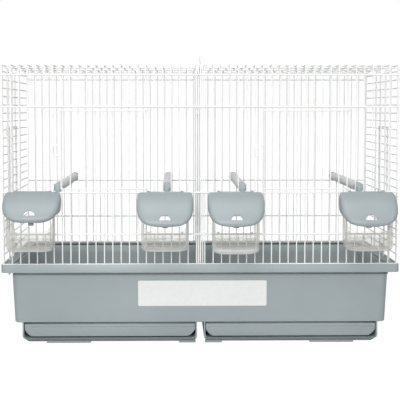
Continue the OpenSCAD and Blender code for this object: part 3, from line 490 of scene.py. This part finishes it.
# How many cross wires a side has, and which two of them, from below, bound the doorway
SIDE_ROWS, WAY_FROM, WAY_TO = 24, 8, 16
GUIDE_WIRE, GUIDE_LOW, GUIDE_HIGH = 2.0, LOWEST + WAY_FROM * PITCH - 7.3, ROOF - 3.5
for side, k in (("left", -1), ("right", 1)):
    panel = ([], [])
    for y in (-SIDE_END + BAR / 2, SIDE_STAY, -DOOR_HALF, DOOR_HALF, SIDE_END - BAR / 2):
        rod(panel, [(k * MESH_X, y, RIM + FOOT_GAP), (k * MESH_X, y, ROOF - 1)], BAR, 10)
        for n in range(SIDE_ROWS):
            weld(panel, k * (MESH_X + 1.2), y, LOWEST + n * PITCH, "y", BAR / 2)
    for n in range(SIDE_ROWS):
        z = LOWEST + n * PITCH
        runs = [(-SIDE_END, SIDE_END)]
        if WAY_FROM < n < WAY_TO:
            runs = [(end * (DOOR_HALF - 1.2), end * SIDE_END) for end in (-1, 1)]
        for y0, y1 in runs:
            rod(panel, [(k * SIDE_ROW_X, y0, z), (k * SIDE_ROW_X, y1, z)], WIRE)
    piece("side_wires_" + side, panel, wire_coat, "cage", ["side_grille_" + side])
    guides = ([], [])
    root = MESH_X + 1
    for y in (-DOOR_HALF, DOOR_HALF):
        path = [(k * root, y, GUIDE_LOW), (k * GUIDE_X, y, GUIDE_LOW),
                (k * GUIDE_X, y, GUIDE_HIGH), (k * root, y, GUIDE_HIGH)]
        rod(guides, rounded(path, 2.6, 5), GUIDE_WIRE, 10)
    piece("side_guide_rods_" + side, guides, wire_coat, "cage",
          ["side_guide_" + side])

# ---- Front doors -----------------------------------------------------------------------
# A light frame of welded wire in front of the mesh. Its two bars curl round the upright wire at
# the right edge as hinge eyes, and a U of wire stands out past the left edge as the handle.

DOOR_Y = -MESH_Y - 2.5
DOOR_PITCHES, DOOR_LOW, DOOR_HIGH = 10, RAIL + 5.4, HEAD - 5.6
DOOR_BAR, DOOR_FRAME = 2.2, 2.1
EYE_REACH, EYE_TURN = 2.5, 300
HANDLE_OUT, HANDLE_HALF, HANDLE_Z = 11.5, 7.5, RAIL + 61.4
for side, at in DOORS.items():
    door = ([], [])
    hinge, latch = at + DOOR_PITCHES / 2 * PITCH, at - DOOR_PITCHES / 2 * PITCH
    edge = latch - 1
    for z in (DOOR_LOW, DOOR_HIGH):
        curl = [(hinge + EYE_REACH * math.sin(math.radians(a)),
                 -MESH_Y - EYE_REACH * math.cos(math.radians(a)), z)
                for a in range(0, EYE_TURN, 20)]
        rod(door, [(edge - 1.0, DOOR_Y, z)] + curl, DOOR_BAR, 10)
    rod(door, [(edge, DOOR_Y, DOOR_LOW), (edge, DOOR_Y, DOOR_HIGH)], DOOR_FRAME, 10)
    for n in range(1, DOOR_PITCHES):
        x = latch + n * PITCH
        rod(door, [(x, DOOR_Y + 1.7, DOOR_LOW - 1.1), (x, DOOR_Y + 1.7, DOOR_HIGH + 1.1)], WIRE)
        for z in (DOOR_LOW, DOOR_HIGH):
            weld(door, x, DOOR_Y + 0.9, z, "x")
    top, bottom, out = HANDLE_Z + HANDLE_HALF, HANDLE_Z - HANDLE_HALF, edge - HANDLE_OUT
    path = [(edge + 0.3, DOOR_Y, top), (out, DOOR_Y, top),
            (out, DOOR_Y, bottom), (edge + 0.3, DOOR_Y, bottom)]
    rod(door, rounded(path, 3.2, 6), DOOR_FRAME, 10)
    body = "front_door_" + side
    piece("front_door_wires_" + side, door, wire_coat, body, [body])

# ---- Side doors ------------------------------------------------------------------------
# A small welded gate whose two bars curl round the guide rods, so that it slides up and stays
# level; a D of wire on its upper half is the finger grip.

GATE_X, GATE_FRAME, GATE_HALF, CURL = 292.3, 2.0, 38.0, 2.2
GATE_LOW, GATE_HIGH = LOWEST + WAY_FROM * PITCH - 3.7, LOWEST + WAY_TO * PITCH + 2.4
GRIP_X, GRIP_Z = GATE_X + 10.8, LOWEST + 15 * PITCH
for side, k in (("left", -1), ("right", 1)):
    gate = ([], [])
    for z in (GATE_LOW, GATE_HIGH):
        curls = []
        for end in (-1, 1):
            curls.append([(k * (GUIDE_X - CURL * math.cos(math.radians(a))),
                           end * (DOOR_HALF + CURL * math.sin(math.radians(a))), z)
                          for a in range(0, EYE_TURN, 20)])
        rod(gate, list(reversed(curls[0])) + curls[1], GATE_FRAME, 10)
    for y in (-GATE_HALF, GATE_HALF):
        rod(gate, [(k * GATE_X, y, GATE_LOW), (k * GATE_X, y, GATE_HIGH)], GATE_FRAME, 10)
    for n in range(WAY_FROM + 1, WAY_TO):
        z = LOWEST + n * PITCH
        rod(gate, [(k * GATE_X, -GATE_HALF - 0.5, z), (k * GATE_X, GATE_HALF + 0.5, z)], WIRE)
        for y in (-GATE_HALF, GATE_HALF):
            weld(gate, k * GATE_X, y, z, "y", 1.2)
    path = [(k * GATE_X, 0, GATE_HIGH), (k * GRIP_X, 0, GATE_HIGH),
            (k * GRIP_X, 0, GRIP_Z), (k * GATE_X, 0, GRIP_Z)]
    rod(gate, rounded(path, 4.2, 6), GATE_FRAME, 10)
    body = "side_door_" + side
    piece("side_door_wires_" + side, gate, wire_coat, body, [body])

# ---- Divider ---------------------------------------------------------------------------
# A welded wire panel that slides down through the slot in the roof between two pairs of guide
# wires. Its frame is one bent wire, narrower where it stands in the tub, with a lifting loop.

divider = ([], [])
WIDE, NARROW, FOOT, STEP, TOP = 149.3, 132.1, 35.5, RIM + 3, RIM + 287.5
LOOP_FROM, LOOP_TO, LOOP_HIGH = -118.0, -92.0, 17.0
DIVIDER_FRAME, DIVIDER_BAR, LOOP_WIRE = 2.4, 2.0, 2.2
frame_path = [(0, 0, FOOT), (0, -NARROW, FOOT), (0, -NARROW, STEP), (0, -WIDE, STEP),
              (0, -WIDE, TOP), (0, WIDE, TOP), (0, WIDE, STEP), (0, NARROW, STEP),
              (0, NARROW, FOOT), (0, 0, FOOT)]
rod(divider, rounded(frame_path, 3.0, 4)[:-1], DIVIDER_FRAME, 10, closed=True)
for z in (STEP, RAIL, HEAD - PITCH):
    rod(divider, [(0, -WIDE, z), (0, WIDE, z)], DIVIDER_BAR)
for n in range(-10, 11):
    rod(divider, [(0.6, n * PITCH, FOOT - 0.3), (0.6, n * PITCH, TOP + 0.3)], WIRE)
path = [(0, LOOP_FROM, TOP), (0, LOOP_FROM, TOP + LOOP_HIGH),
        (0, LOOP_TO, TOP + LOOP_HIGH), (0, LOOP_TO, TOP)]
rod(divider, rounded(path, 5, 6), LOOP_WIRE, 10)
piece("divider_wires", divider, wire_coat, "divider", ["divider"])

# ---- Feeder hoods ----------------------------------------------------------------------
# Four domed covers outside the feeder openings, moulded in the same grey plastic as the base.
# Each hooks over a cross wire with two eyes joined by a bar, and has a half-moon window to see
# the seed through and a tongue under its edge. The first one stands a little open.

HOOD_BACK, HOOD_TOP, HOOD_DEEP, HOOD_HIGH, HOOD_HALF = -156.3, RIM + 107.2, 50.0, 46.9, 40.7
HOOD_WALL, HOOD_CORNER, CORNERS_FROM, HOOD_CREASE = 2.0, 8.5, 13.0, 50
# How far down the side walls start to end further forward, over what height they do so, and how
# much of them is left behind the face
CHEEKS_FROM, CHEEKS_OVER, FACE_DEPTH = 28, 8, 11
EYE_X = 2 * PITCH
# How far each hood has slid along its wire from the middle of its opening, and by how many
# degrees it stands open
HOOD_SLIP = [1.4, -2.8, 1.7, -2.4]
HOOD_TIP = [-8.0, 0.0, 0.0, 0.0]

# The same polypropylene in a smaller mould: a closer grain, so a slightly tighter highlight on
# the rolled edges. Like the base's, the grain is drawn coarser than it is.
HOOD_GRAIN, HOOD_FLOW = 0.5556, 41.67
hood_plastic, shader, place = new_material("moulded_polypropylene_hood", 0.38, 1.49)
grain = node(hood_plastic, "TexNoise",
             {"Vector": place, "Scale": scale_for(HOOD_GRAIN), "Detail": 2.0})
flow = node(hood_plastic, "TexNoise",
            {"Vector": place, "Scale": scale_for(HOOD_FLOW), "Detail": 3.0})
tint(hood_plastic, shader, flow.outputs["Fac"], "#9ca6a9", "#a8b2b5")
relief(hood_plastic, shader, grain.outputs["Fac"], 0.00006)


def hood_half(down):
    """Half the width of a hood at a distance under its top: small shoulders, big lower corners."""
    if down > CORNERS_FROM:
        curve = 3.05
        t = (down - CORNERS_FROM) / (HOOD_HIGH - CORNERS_FROM)
        return HOOD_HALF * (1 - t ** curve) ** (1 / curve)
    r, swell = 4, 1.7
    shoulder = r - math.sqrt(r ** 2 - (r - min(down, r)) ** 2)
    return HOOD_HALF - swell + swell * math.sin(math.radians(90 * down / CORNERS_FROM)) - shoulder


def hood_reach(down):
    """How far the face stands out from the hinge edge: a sloping face with a rolled lower edge."""
    curve, roll_high, roll_in = 1.6, 8, 6.5
    out = HOOD_DEEP * (1 - (1 - down / HOOD_HIGH) ** curve) ** (1 / curve)
    roll = max(0.0, (down - HOOD_HIGH + roll_high) / roll_high)
    return max(1.5, out - roll_in * (1 - math.sqrt(1 - roll * roll)))


def hood_ring(down, inset, r=HOOD_CORNER):
    """A level section: side wall, round corner, gently crowned face, and the same mirrored.
    The side walls end further forward below, where the cup's cheeks stand."""
    half, reach = hood_half(down) - inset, hood_reach(down) - inset
    free = min(1.0, max(0.0, (down - CHEEKS_FROM) / CHEEKS_OVER))
    back = max(0.0, reach - FACE_DEPTH) * free * free * (3 - 2 * free)
    r = max(0.3, min(r - inset, 0.8 * (reach - back), 0.8 * half))
    ring = [(-half, back), (-half, (back + reach - r) / 2)]
    for k in range(7):
        a = math.radians(180 - 90 * k / 6)
        ring.append((-half + r + r * math.cos(a), reach - r + r * math.sin(a)))
    for t in (0.8, 0.6, 0.4, 0.2):
        ring.append((-(half - r) * t, reach + min(1.0, reach / 9) * (1 - t * t)))
    ring.append((0, reach + min(1.0, reach / 9)))
    ring += [(-x, y) for x, y in reversed(ring[:-1])]
    return [(x, HOOD_BACK - y, HOOD_TOP - down) for x, y in ring]


def turned(points, x, y, z, degrees):
    """Points turned about a cross wire that runs left to right through (y, z), then moved to x."""
    c, s = math.cos(math.radians(degrees)), math.sin(math.radians(degrees))
    return [(px + x, y + (py - y) * c - (pz - z) * s, z + (py - y) * s + (pz - z) * c)
            for px, py, pz in points]


def cut(target, shape):
    """Cuts a closed shape, in millimetres, out of a finished piece."""
    points, faces = shape
    mesh = bpy.data.meshes.new("cutter")
    mesh.from_pydata([(x / 1000, y / 1000 + MIDDLE_Y, z / 1000) for x, y, z in points], [], faces)
    solid = bmesh.new()
    solid.from_mesh(mesh)
    bmesh.ops.recalc_face_normals(solid, faces=solid.faces)
    solid.to_mesh(mesh)
    solid.free()
    cutter = bpy.data.objects.new("cutter", mesh)
    bpy.context.scene.collection.objects.link(cutter)
    boolean = target.modifiers.new("cut", "BOOLEAN")
    boolean.object, boolean.operation, boolean.solver = cutter, "DIFFERENCE", "EXACT"
    bpy.context.view_layer.update()
    evaluated = target.evaluated_get(bpy.context.evaluated_depsgraph_get())
    done = bpy.data.meshes.new_from_object(evaluated)
    target.modifiers.clear()
    old, target.data = target.data, done
    done.name = old.name
    bpy.data.meshes.remove(old)
    bpy.data.objects.remove(cutter)
    bpy.data.meshes.remove(mesh)


# How far under the top of a hood its level sections are taken
HOOD_LEVELS = [0, 0.5, 1.3, 2.5, 4, 7, 11, 15, 19, 23, 27, 30, 33, 36, 38.5, 40.5, 42.2, 43.6, 44.8,
               45.8, 46.4, 46.7]
# The window's half width, its height and how far down it is, and the eyelid a little outside it
MOON_HALF, MOON_HIGH, MOON_DOWN = 8.5, 7.4, HOOD_HIGH - 10.2
LID_OUT, LID_THICK = 1.04, 1.7
# An ear from below to above, as (height over the cross wire, half its width, where its front is)
EAR = [(-2.4, 2.6, -7.5), (0.8, 2.2, -3.6), (2.0, 1.6, -1.4), (2.4, 1.1, -0.6)]
for n, slip in enumerate(HOOD_SLIP):
    at = FEEDERS[n] + slip
    body = "feeder_hood_%d" % (n + 1)
    shell = ([], [])
    outer = [hood_ring(down, 0) for down in HOOD_LEVELS]
    squeeze = 1 - HOOD_WALL / HOOD_LEVELS[-1]
    inner = [hood_ring(HOOD_WALL + down * squeeze, HOOD_WALL) for down in HOOD_LEVELS]
    # Outside down, over the free edge, inside up, and over the hinge edge back to the start
    skin(shell, outer + inner[::-1] + outer[:1], around=False)
    for k in (0, -1):
        first = len(shell[0])
        shell[0].extend([ring[k] for ring in outer] + [ring[k] for ring in inner])
        for r in range(len(outer) - 1):
            a, b = first + r, first + len(outer) + r
            shell[1].append((a, a + 1, b + 1, b))
    shell = (turned(shell[0], at, -CROSS_Y, RAIL, HOOD_TIP[n]), shell[1])
    made = piece("feeder_hood_shell_%d" % (n + 1), shell, hood_plastic, body,
                 [body], HOOD_CREASE)
    arc = [(MOON_HALF * math.cos(math.radians(a)), MOON_HIGH * math.sin(math.radians(a)))
           for a in range(0, 181, 10)]
    moon = [(x, HOOD_BACK - y, HOOD_TOP - MOON_DOWN + z) for y in (62, 22) for x, z in arc]
    half = len(arc)
    faces = [(k, (k + 1) % half, half + (k + 1) % half, half + k) for k in range(half)]
    faces += [tuple(range(half)), tuple(range(half, 2 * half))]
    cut(made, (turned(moon, at, -CROSS_Y, RAIL, HOOD_TIP[n]), faces))
    made.data.set_sharp_from_angle(angle=math.radians(HOOD_CREASE))
    # The eyelid over the window
    trim = ([], [])
    rod(trim, [(x * LID_OUT, HOOD_BACK - hood_reach(MOON_DOWN - z) - 0.2,
                HOOD_TOP - MOON_DOWN + z * LID_OUT) for x, z in arc], LID_THICK)
    # The eyes on the cross wire, the ears that carry them, and the bar between the ears
    for x in (-EYE_X, EYE_X):
        rings = []
        for u, r in ((-2.0, 2.5), (-1.6, 2.9), (1.6, 2.9), (2.0, 2.5)):
            rings.append([(x + u, -CROSS_Y + r * math.cos(a), RAIL + r * math.sin(a))
                          for a in [2 * math.pi * k / 16 for k in range(16)]])
        skin(trim, rings, start=True, end=True)
        ear = []
        for z, wide, front in EAR:
            ear.append([(x + u * wide, HOOD_BACK + v, RAIL + z)
                        for u, v in ((-1, front), (1, front), (1, 0.8), (-1, 0.8))])
        skin(trim, ear, start=True, end=True)
    block(trim, -24.4, 24.4, HOOD_BACK - 3.6, HOOD_BACK - 2.0, HOOD_TOP - 2.5, HOOD_TOP + 1.2, 0.5)
    # The tongue, held back from the lower lip by a small web
    low = HOOD_TOP - HOOD_HIGH
    block(trim, -4, 4, HOOD_BACK - 25, HOOD_BACK - 23, low - 3.2, low + 4.5, 0.5)
    block(trim, -4, 4, HOOD_BACK - 47, HOOD_BACK - 23.4, low + 2.6, low + 4.4, 0.4)
    trim = (turned(trim[0], at, -CROSS_Y, RAIL, HOOD_TIP[n]), trim[1])
    piece("feeder_hood_hinge_%d" % (n + 1), trim, hood_plastic, body, (),
          HOOD_CREASE)

# ---- Feeder cups -----------------------------------------------------------------------
# Clear troughs moulded in polystyrene: a thick rounded bottom, a low front edge, cheeks that
# slope up to the mesh, and two hooks over the cross wire. The third one hangs a little forward.

CUP_BACK, CUP_DEEP, CUP_HALF, CUP_LOW = -153.8, 46.5, 34.0, RIM + 24.3
CUP_LIP, CUP_CHEEK, CUP_HOOK = RIM + 52.5, RIM + 75, RIM + 46.95
CUP_WALL, CUP_FLOOR, CUP_CORNER, CUP_ROUND = 1.8, 3.2, 14.0, 8.0
# How far each cup has slid along its wire from the middle of its opening, and by how many
# degrees it is tilted
CUP_SLIP = [-1, -2.8, 1.2, -2.6]
CUP_TILT = [0.0, 0.0, 6.0, 0.0]

# General purpose polystyrene: clear, slightly wavy walls with a faint milky cast, which gathers
# where a wall is seen edge on and in the thick bottom, so that the outline and the base look paler
# than the rest. The bottom's haze sets in between two heights, in metres as the shader wants them.
WAVE = 22.22
BASE_TOP, BASE_LOW = (CUP_LOW + 4.9) / 1000, (CUP_LOW + 2.3) / 1000
clear_plastic, shader, place = new_material("clear_moulded_polystyrene", 0.12, 1.59)
wave = node(clear_plastic, "TexNoise", {"Vector": place, "Scale": scale_for(WAVE), "Detail": 1.0})
tint(clear_plastic, shader, wave.outputs["Fac"], "#f3f4f1", "#fdfdfb")
relief(clear_plastic, shader, wave.outputs["Fac"], 0.0001)
clear = node(clear_plastic, "BsdfTransparent", {"Color": linear("#fcfcfb")})
edge = node(clear_plastic, "LayerWeight", {"Blend": 0.45})
height = node(clear_plastic, "SeparateXYZ", {"Vector": place})
haze = node(clear_plastic, "MapRange", {"Value": height.outputs["Z"], "From Min": BASE_TOP,
                                        "From Max": BASE_LOW, "To Min": 0.13, "To Max": 0.42})
cast = node(clear_plastic, "Math", {0: edge.outputs["Facing"], 1: 0.4, 2: haze.outputs[0]},
            operation="MULTIPLY_ADD", use_clamp=True)
both = node(clear_plastic, "MixShader",
            {0: cast.outputs[0], 1: clear.outputs[0], 2: shader.outputs[0]})


def show(material, result):
    """Sends a shader to the material's surface in place of the plain one."""
    surface = material.node_tree.nodes["Material Output"].inputs["Surface"]
    material.node_tree.links.new(result.outputs[0], surface)


show(clear_plastic, both)


def cup_outline(inset):
    """The cup seen from above, from its left back corner round the front to the right one."""
    half, front, back = CUP_HALF - inset, CUP_BACK - CUP_DEEP + inset, CUP_BACK - inset
    r = CUP_CORNER - inset
    ring = [(-half + 2, back), (-half + 0.6, back - 0.6), (-half, back - 2)]
    ring += [(-half, back - 8), (-half, back - 16), (-half, front + r + 4)]
    for k in range(9):
        a = math.radians(180 + 90 * k / 8)
        ring.append((-half + r + r * math.cos(a), front + r + r * math.sin(a)))
    ring.append((0, front))
    return ring + [(-x, y) for x, y in reversed(ring[:-1])]


def cup_wall(inset, low, r=CUP_ROUND, steps=5):
    """Rings up one face of the wall: round under the bottom, then up to the edge of the cup."""
    outline = cup_outline(inset)
    middle = CUP_BACK - CUP_DEEP / 2
    rings = []
    for k in range(steps + 1):
        a = math.radians(90 * k / steps)
        draw, z = (r - inset) * (1 - math.sin(a)), low + (r - inset) * (1 - math.cos(a))
        rings.append([(x - math.copysign(min(draw, abs(x)), x),
                       y - math.copysign(min(draw, abs(y - middle)), y - middle), z)
                      for x, y in outline])
    base = rings[-1][0][2]
    # The edge rises from the front towards the cheeks at the back
    tops = [min(CUP_CHEEK, CUP_LIP + max(0, y - CUP_BACK + CUP_DEEP)) for x, y in outline]
    for t in (0.35, 0.7, 1.0):
        rings.append([(x, y, base + (top - base) * t) for (x, y), top in zip(outline, tops)])
    return rings


for n, slip in enumerate(CUP_SLIP):
    at = FEEDERS[n] + slip
    body = "feeder_cup_%d" % (n + 1)
    cup = ([], [])
    outer, inner = cup_wall(0, CUP_LOW), cup_wall(CUP_WALL, CUP_LOW + CUP_FLOOR)
    rings = outer + inner[::-1]
    skin(cup, rings, around=False)
    # The low back wall: outside, over its top edge, and inside
    back = []
    for ring in rings:
        z = min(ring[0][2], CUP_HOOK)
        back.append([(ring[-1][0], ring[-1][1], z), (ring[0][0], ring[0][1], z)])
    skin(cup, back, around=False)
    # The upright edges of the cheeks
    size = len(outer)
    for k in (0, -1):
        first = len(cup[0])
        cup[0].extend(ring[k] for ring in rings)
        for r in range(size - 1):
            quad = (first + r, first + r + 1, first + 2 * size - 2 - r, first + 2 * size - 1 - r)
            cup[1].append(quad[::-1] if k == 0 else quad)
    # The bottom, outside and inside
    for ring, turn in ((outer[0], 1), (inner[0], -1)):
        first = len(cup[0])
        cup[0].extend(ring)
        cup[1].append(tuple(range(first, first + len(ring)))[::turn])
    for x in (-EYE_X, EYE_X):
        block(cup, x - 2, x + 2, CUP_BACK - 1.7, -CROSS_Y + 3.3, CUP_HOOK, CUP_HOOK + 1.6, 0.3)
        block(cup, x - 2, x + 2, -CROSS_Y + 1.55, -CROSS_Y + 3.35,
              CUP_HOOK - 3.4, CUP_HOOK + 1.5, 0.3)
    cup = (turned(cup[0], at, -CROSS_Y, SILL, CUP_TILT[n]), cup[1])
    piece("feeder_cup_trough_%d" % (n + 1), cup, clear_plastic, body, [body])

# ---- Perches ---------------------------------------------------------------------------
# Round plastic bars from front to back. Each end is capped by a plug whose square tongue rests on
# the cross wires, between two upright wires; its darker grey is painted shade on the perch's end.

PERCHES = [-17 * PITCH, -4 * PITCH, 5 * PITCH, 19 * PITCH]
REST_Z = RAIL + 1.35
PERCH_Z = REST_Z + 6
PERCH_R, RIB, RIBS, PERCH_END = 6.6, 0.18, 24, 137.0
TONGUE_HALF, TONGUE_HIGH = 3.3, 6.6

# Extruded polypropylene: dull and pale grey, faintly wavy from the die. Fine ribs along the bar,
# modelled in its mesh, break up its highlight and give the birds a grip.
DRIFT = 28.57
perch_plastic, shader, place = new_material("ribbed_extruded_polypropylene", 0.55, 1.49)
drift = node(perch_plastic, "TexNoise", {"Vector": place, "Scale": scale_for(DRIFT), "Detail": 3.0})
tint(perch_plastic, shader, drift.outputs["Fac"], "#e6e9e9", "#f0f2f2")
relief(perch_plastic, shader, drift.outputs["Fac"], 0.0001)

# The plugs and the side clips are moulded, with the base's satin grain, in a grey darker than the
# bars. On the plugs that grey is painted shade, standing in for the shade on the ends of the
# perches.
PLUG_FLOW = 33.33
plug_plastic, shader, place = new_material("moulded_polypropylene_perch_plug", 0.45, 1.49)
grain = node(plug_plastic, "TexNoise", {"Vector": place, "Scale": scale_for(GRAIN), "Detail": 2.0})
flow = node(plug_plastic, "TexNoise",
            {"Vector": place, "Scale": scale_for(PLUG_FLOW), "Detail": 2.0})
tint(plug_plastic, shader, flow.outputs["Fac"], "#a1aaac", "#aeb6b8")
relief(plug_plastic, shader, grain.outputs["Fac"], 0.00008)

for n, at in enumerate(PERCHES):
    body = "perch_%d" % (n + 1)
    bar = ([], [])
    rings = []
    for y in (-PERCH_END, PERCH_END):
        ring = []
        for k in range(2 * RIBS):
            a, r = math.pi * k / RIBS, PERCH_R + RIB * (k % 2)
            ring.append((at + r * math.cos(a), y, PERCH_Z + r * math.sin(a)))
        rings.append(ring)
    skin(bar, rings, start=True, end=True)
    piece("perch_bar_%d" % (n + 1), bar, perch_plastic, body, [body], 60)
    plugs = ([], [])
    for end in (-1, 1):
        rings = []
        for y, r in ((136, 6.7), (136.4, 7.0), (147.3, 7.0), (147.9, 6.7), (148.1, 6.0)):
            rings.append([(at + r * math.cos(a), end * y, PERCH_Z + r * math.sin(a))
                          for a in [2 * math.pi * k / 40 for k in range(40)]])
        skin(plugs, rings, start=True, end=True)
        y0, y1 = sorted((end * 147.5, end * 153.4))
        block(plugs, at - TONGUE_HALF, at + TONGUE_HALF, y0, y1, REST_Z, REST_Z + TONGUE_HIGH, 0.6)
    piece("perch_plugs_%d" % (n + 1), plugs, plug_plastic, body)

# ---- Side clips ------------------------------------------------------------------------
# A grey moulded strip at each end that turns on the second cross wire from below, snaps under
# the rim of the base with a small hook and ends in a finger tab.

CLIP_AXIS, CLIP_FACE, CLIP_HOOK, CLIP_HALF = LOWEST + PITCH, 292.5, RIM - 12, 6.0
# The section of the strip: round the eye, down the outside to the tab, and up past the hook
section = [(SIDE_ROW_X - 1.2, CLIP_AXIS + 2.0), (SIDE_ROW_X + 1.2, CLIP_AXIS + 2.4),
           (SIDE_ROW_X + 2.7, CLIP_AXIS + 1.2), (CLIP_FACE + 1.2, RIM + 6),
           (CLIP_FACE + 1.6, RIM + 3), (CLIP_FACE + 1.6, CLIP_HOOK - 2),
           (CLIP_FACE + 9.2, CLIP_HOOK - 20.5), (CLIP_FACE + 9, CLIP_HOOK - 22),
           (CLIP_FACE + 7.6, CLIP_HOOK - 22), (CLIP_FACE - 1, CLIP_HOOK - 3.4),
           (CLIP_FACE - 2.6, CLIP_HOOK - 1.6), (CLIP_FACE - 2.6, CLIP_HOOK),
           (CLIP_FACE, CLIP_HOOK), (CLIP_FACE, RIM + 3.2), (SIDE_ROW_X + 0.4, CLIP_AXIS - 2.6),
           (SIDE_ROW_X - 1.8, CLIP_AXIS - 2.0)]
middle_x = sum(x for x, z in section) / len(section)
middle_z = sum(z for x, z in section) / len(section)
for side, k in (("left", -1), ("right", 1)):
    clip = ([], [])
    rings = []
    ends = ((-CLIP_HALF, 0.35), (-CLIP_HALF + 0.4, 0), (CLIP_HALF - 0.4, 0), (CLIP_HALF, 0.35))
    for y, inset in ends:
        rings.append([(k * (x - math.copysign(inset, x - middle_x) * 0.4), y,
                       z - math.copysign(inset, z - middle_z) * 0.6) for x, z in section])
    skin(clip, rings if k > 0 else rings[::-1], start=True, end=True)
    body = "side_clip_" + side
    piece("side_clip_strip_" + side, clip, plug_plastic, body, [body])

# ---- Floor, light and camera -----------------------------------------------------------
# A plain white sweep with soft light from the front and from above, seen from a little under the
# height of the roof and from the photograph's distance. The floor keeps the cage's shadow. The
# sizes in this section are in metres.

SWEEP = 40.0
floor_mesh = bpy.data.meshes.new("floor")
corners = [(-SWEEP, -SWEEP, 0), (SWEEP, -SWEEP, 0), (SWEEP, SWEEP, 0), (-SWEEP, SWEEP, 0)]
floor_mesh.from_pydata(corners, [], [(0, 1, 2, 3)])
floor = bpy.data.objects.new("floor", floor_mesh)
bpy.context.scene.collection.objects.link(floor)


def seen(material):
    """One where the camera looks, straight or through something clear, and nothing elsewhere."""
    look = node(material, "LightPath").outputs
    return node(material, "Math", {0: look["Is Camera Ray"], 1: look["Is Transmission Ray"]},
                operation="MAXIMUM")


# Matt paper: it takes the shadow, and is lifted to white where the camera looks at it, all the
# way once it is well clear of the cage.
NEAR, CLEAR = 0.5, 1.5
paper, shader, place = new_material("matt_white_paper", 0.9, 1.5)
shader.inputs["Base Color"].default_value = linear("#d8d8d8")
far = node(paper, "VectorMath", {0: place}, operation="LENGTH")
lift = node(paper, "MapRange", {"Value": far.outputs["Value"], "From Min": NEAR, "From Max": CLEAR,
                                "To Min": 0.93, "To Max": 1.0})
lift = node(paper, "Math", {0: seen(paper).outputs[0], 1: lift.outputs[0]}, operation="MULTIPLY")
glow = node(paper, "Emission", {"Color": (1, 1, 1, 1), "Strength": 1.08})
lifted = node(paper, "MixShader", {0: lift.outputs[0], 1: shader.outputs[0], 2: glow.outputs[0]})
show(paper, lifted)
floor_mesh.materials.append(paper)

world = bpy.data.worlds.new("soft_studio")
bpy.context.scene.world = world
world.use_nodes = True
world.node_tree.nodes.clear()
fill = node(world, "Background", {"Color": (1, 1, 1, 1), "Strength": 0.41})
white = node(world, "Background", {"Color": (1, 1, 1, 1), "Strength": 1.0})
choose = node(world, "MixShader",
              {0: seen(world).outputs[0], 1: fill.outputs[0], 2: white.outputs[0]})
node(world, "OutputWorld", {"Surface": choose.outputs[0]})


def softbox(name, place, aim, size, power):
    """A square studio light that points at the cage."""
    lamp = bpy.data.lights.new(name, "AREA")
    lamp.shape, lamp.size, lamp.energy = "SQUARE", size, power
    box = bpy.data.objects.new(name, lamp)
    bpy.context.scene.collection.objects.link(box)
    box.location = place
    box.rotation_euler = (Vector(aim) - Vector(place)).to_track_quat("-Z", "Y").to_euler()


CAGE_MIDDLE = (0, 0, 0.2)
softbox("front_softbox", (-0.35, -2.6, 0.95), CAGE_MIDDLE, 1.1, 34)
softbox("top_softbox", (-0.2, -0.6, 2.3), CAGE_MIDDLE, 1.6, 19)

LOOKS_DOWN, LOOKS_RIGHT = 4.345, 1.12
camera_data = bpy.data.cameras.new("camera")
camera_data.lens = 108.0
camera_data.sensor_width = 36.0
camera = bpy.data.objects.new("camera", camera_data)
bpy.context.scene.collection.objects.link(camera)
camera.location = (-0.0351, -1.898 + MIDDLE_Y, 0.3470)
camera.rotation_euler = (math.radians(90 - LOOKS_DOWN), 0, math.radians(-LOOKS_RIGHT))
bpy.context.scene.camera = camera

bpy.context.scene.view_settings.view_transform = "Standard"
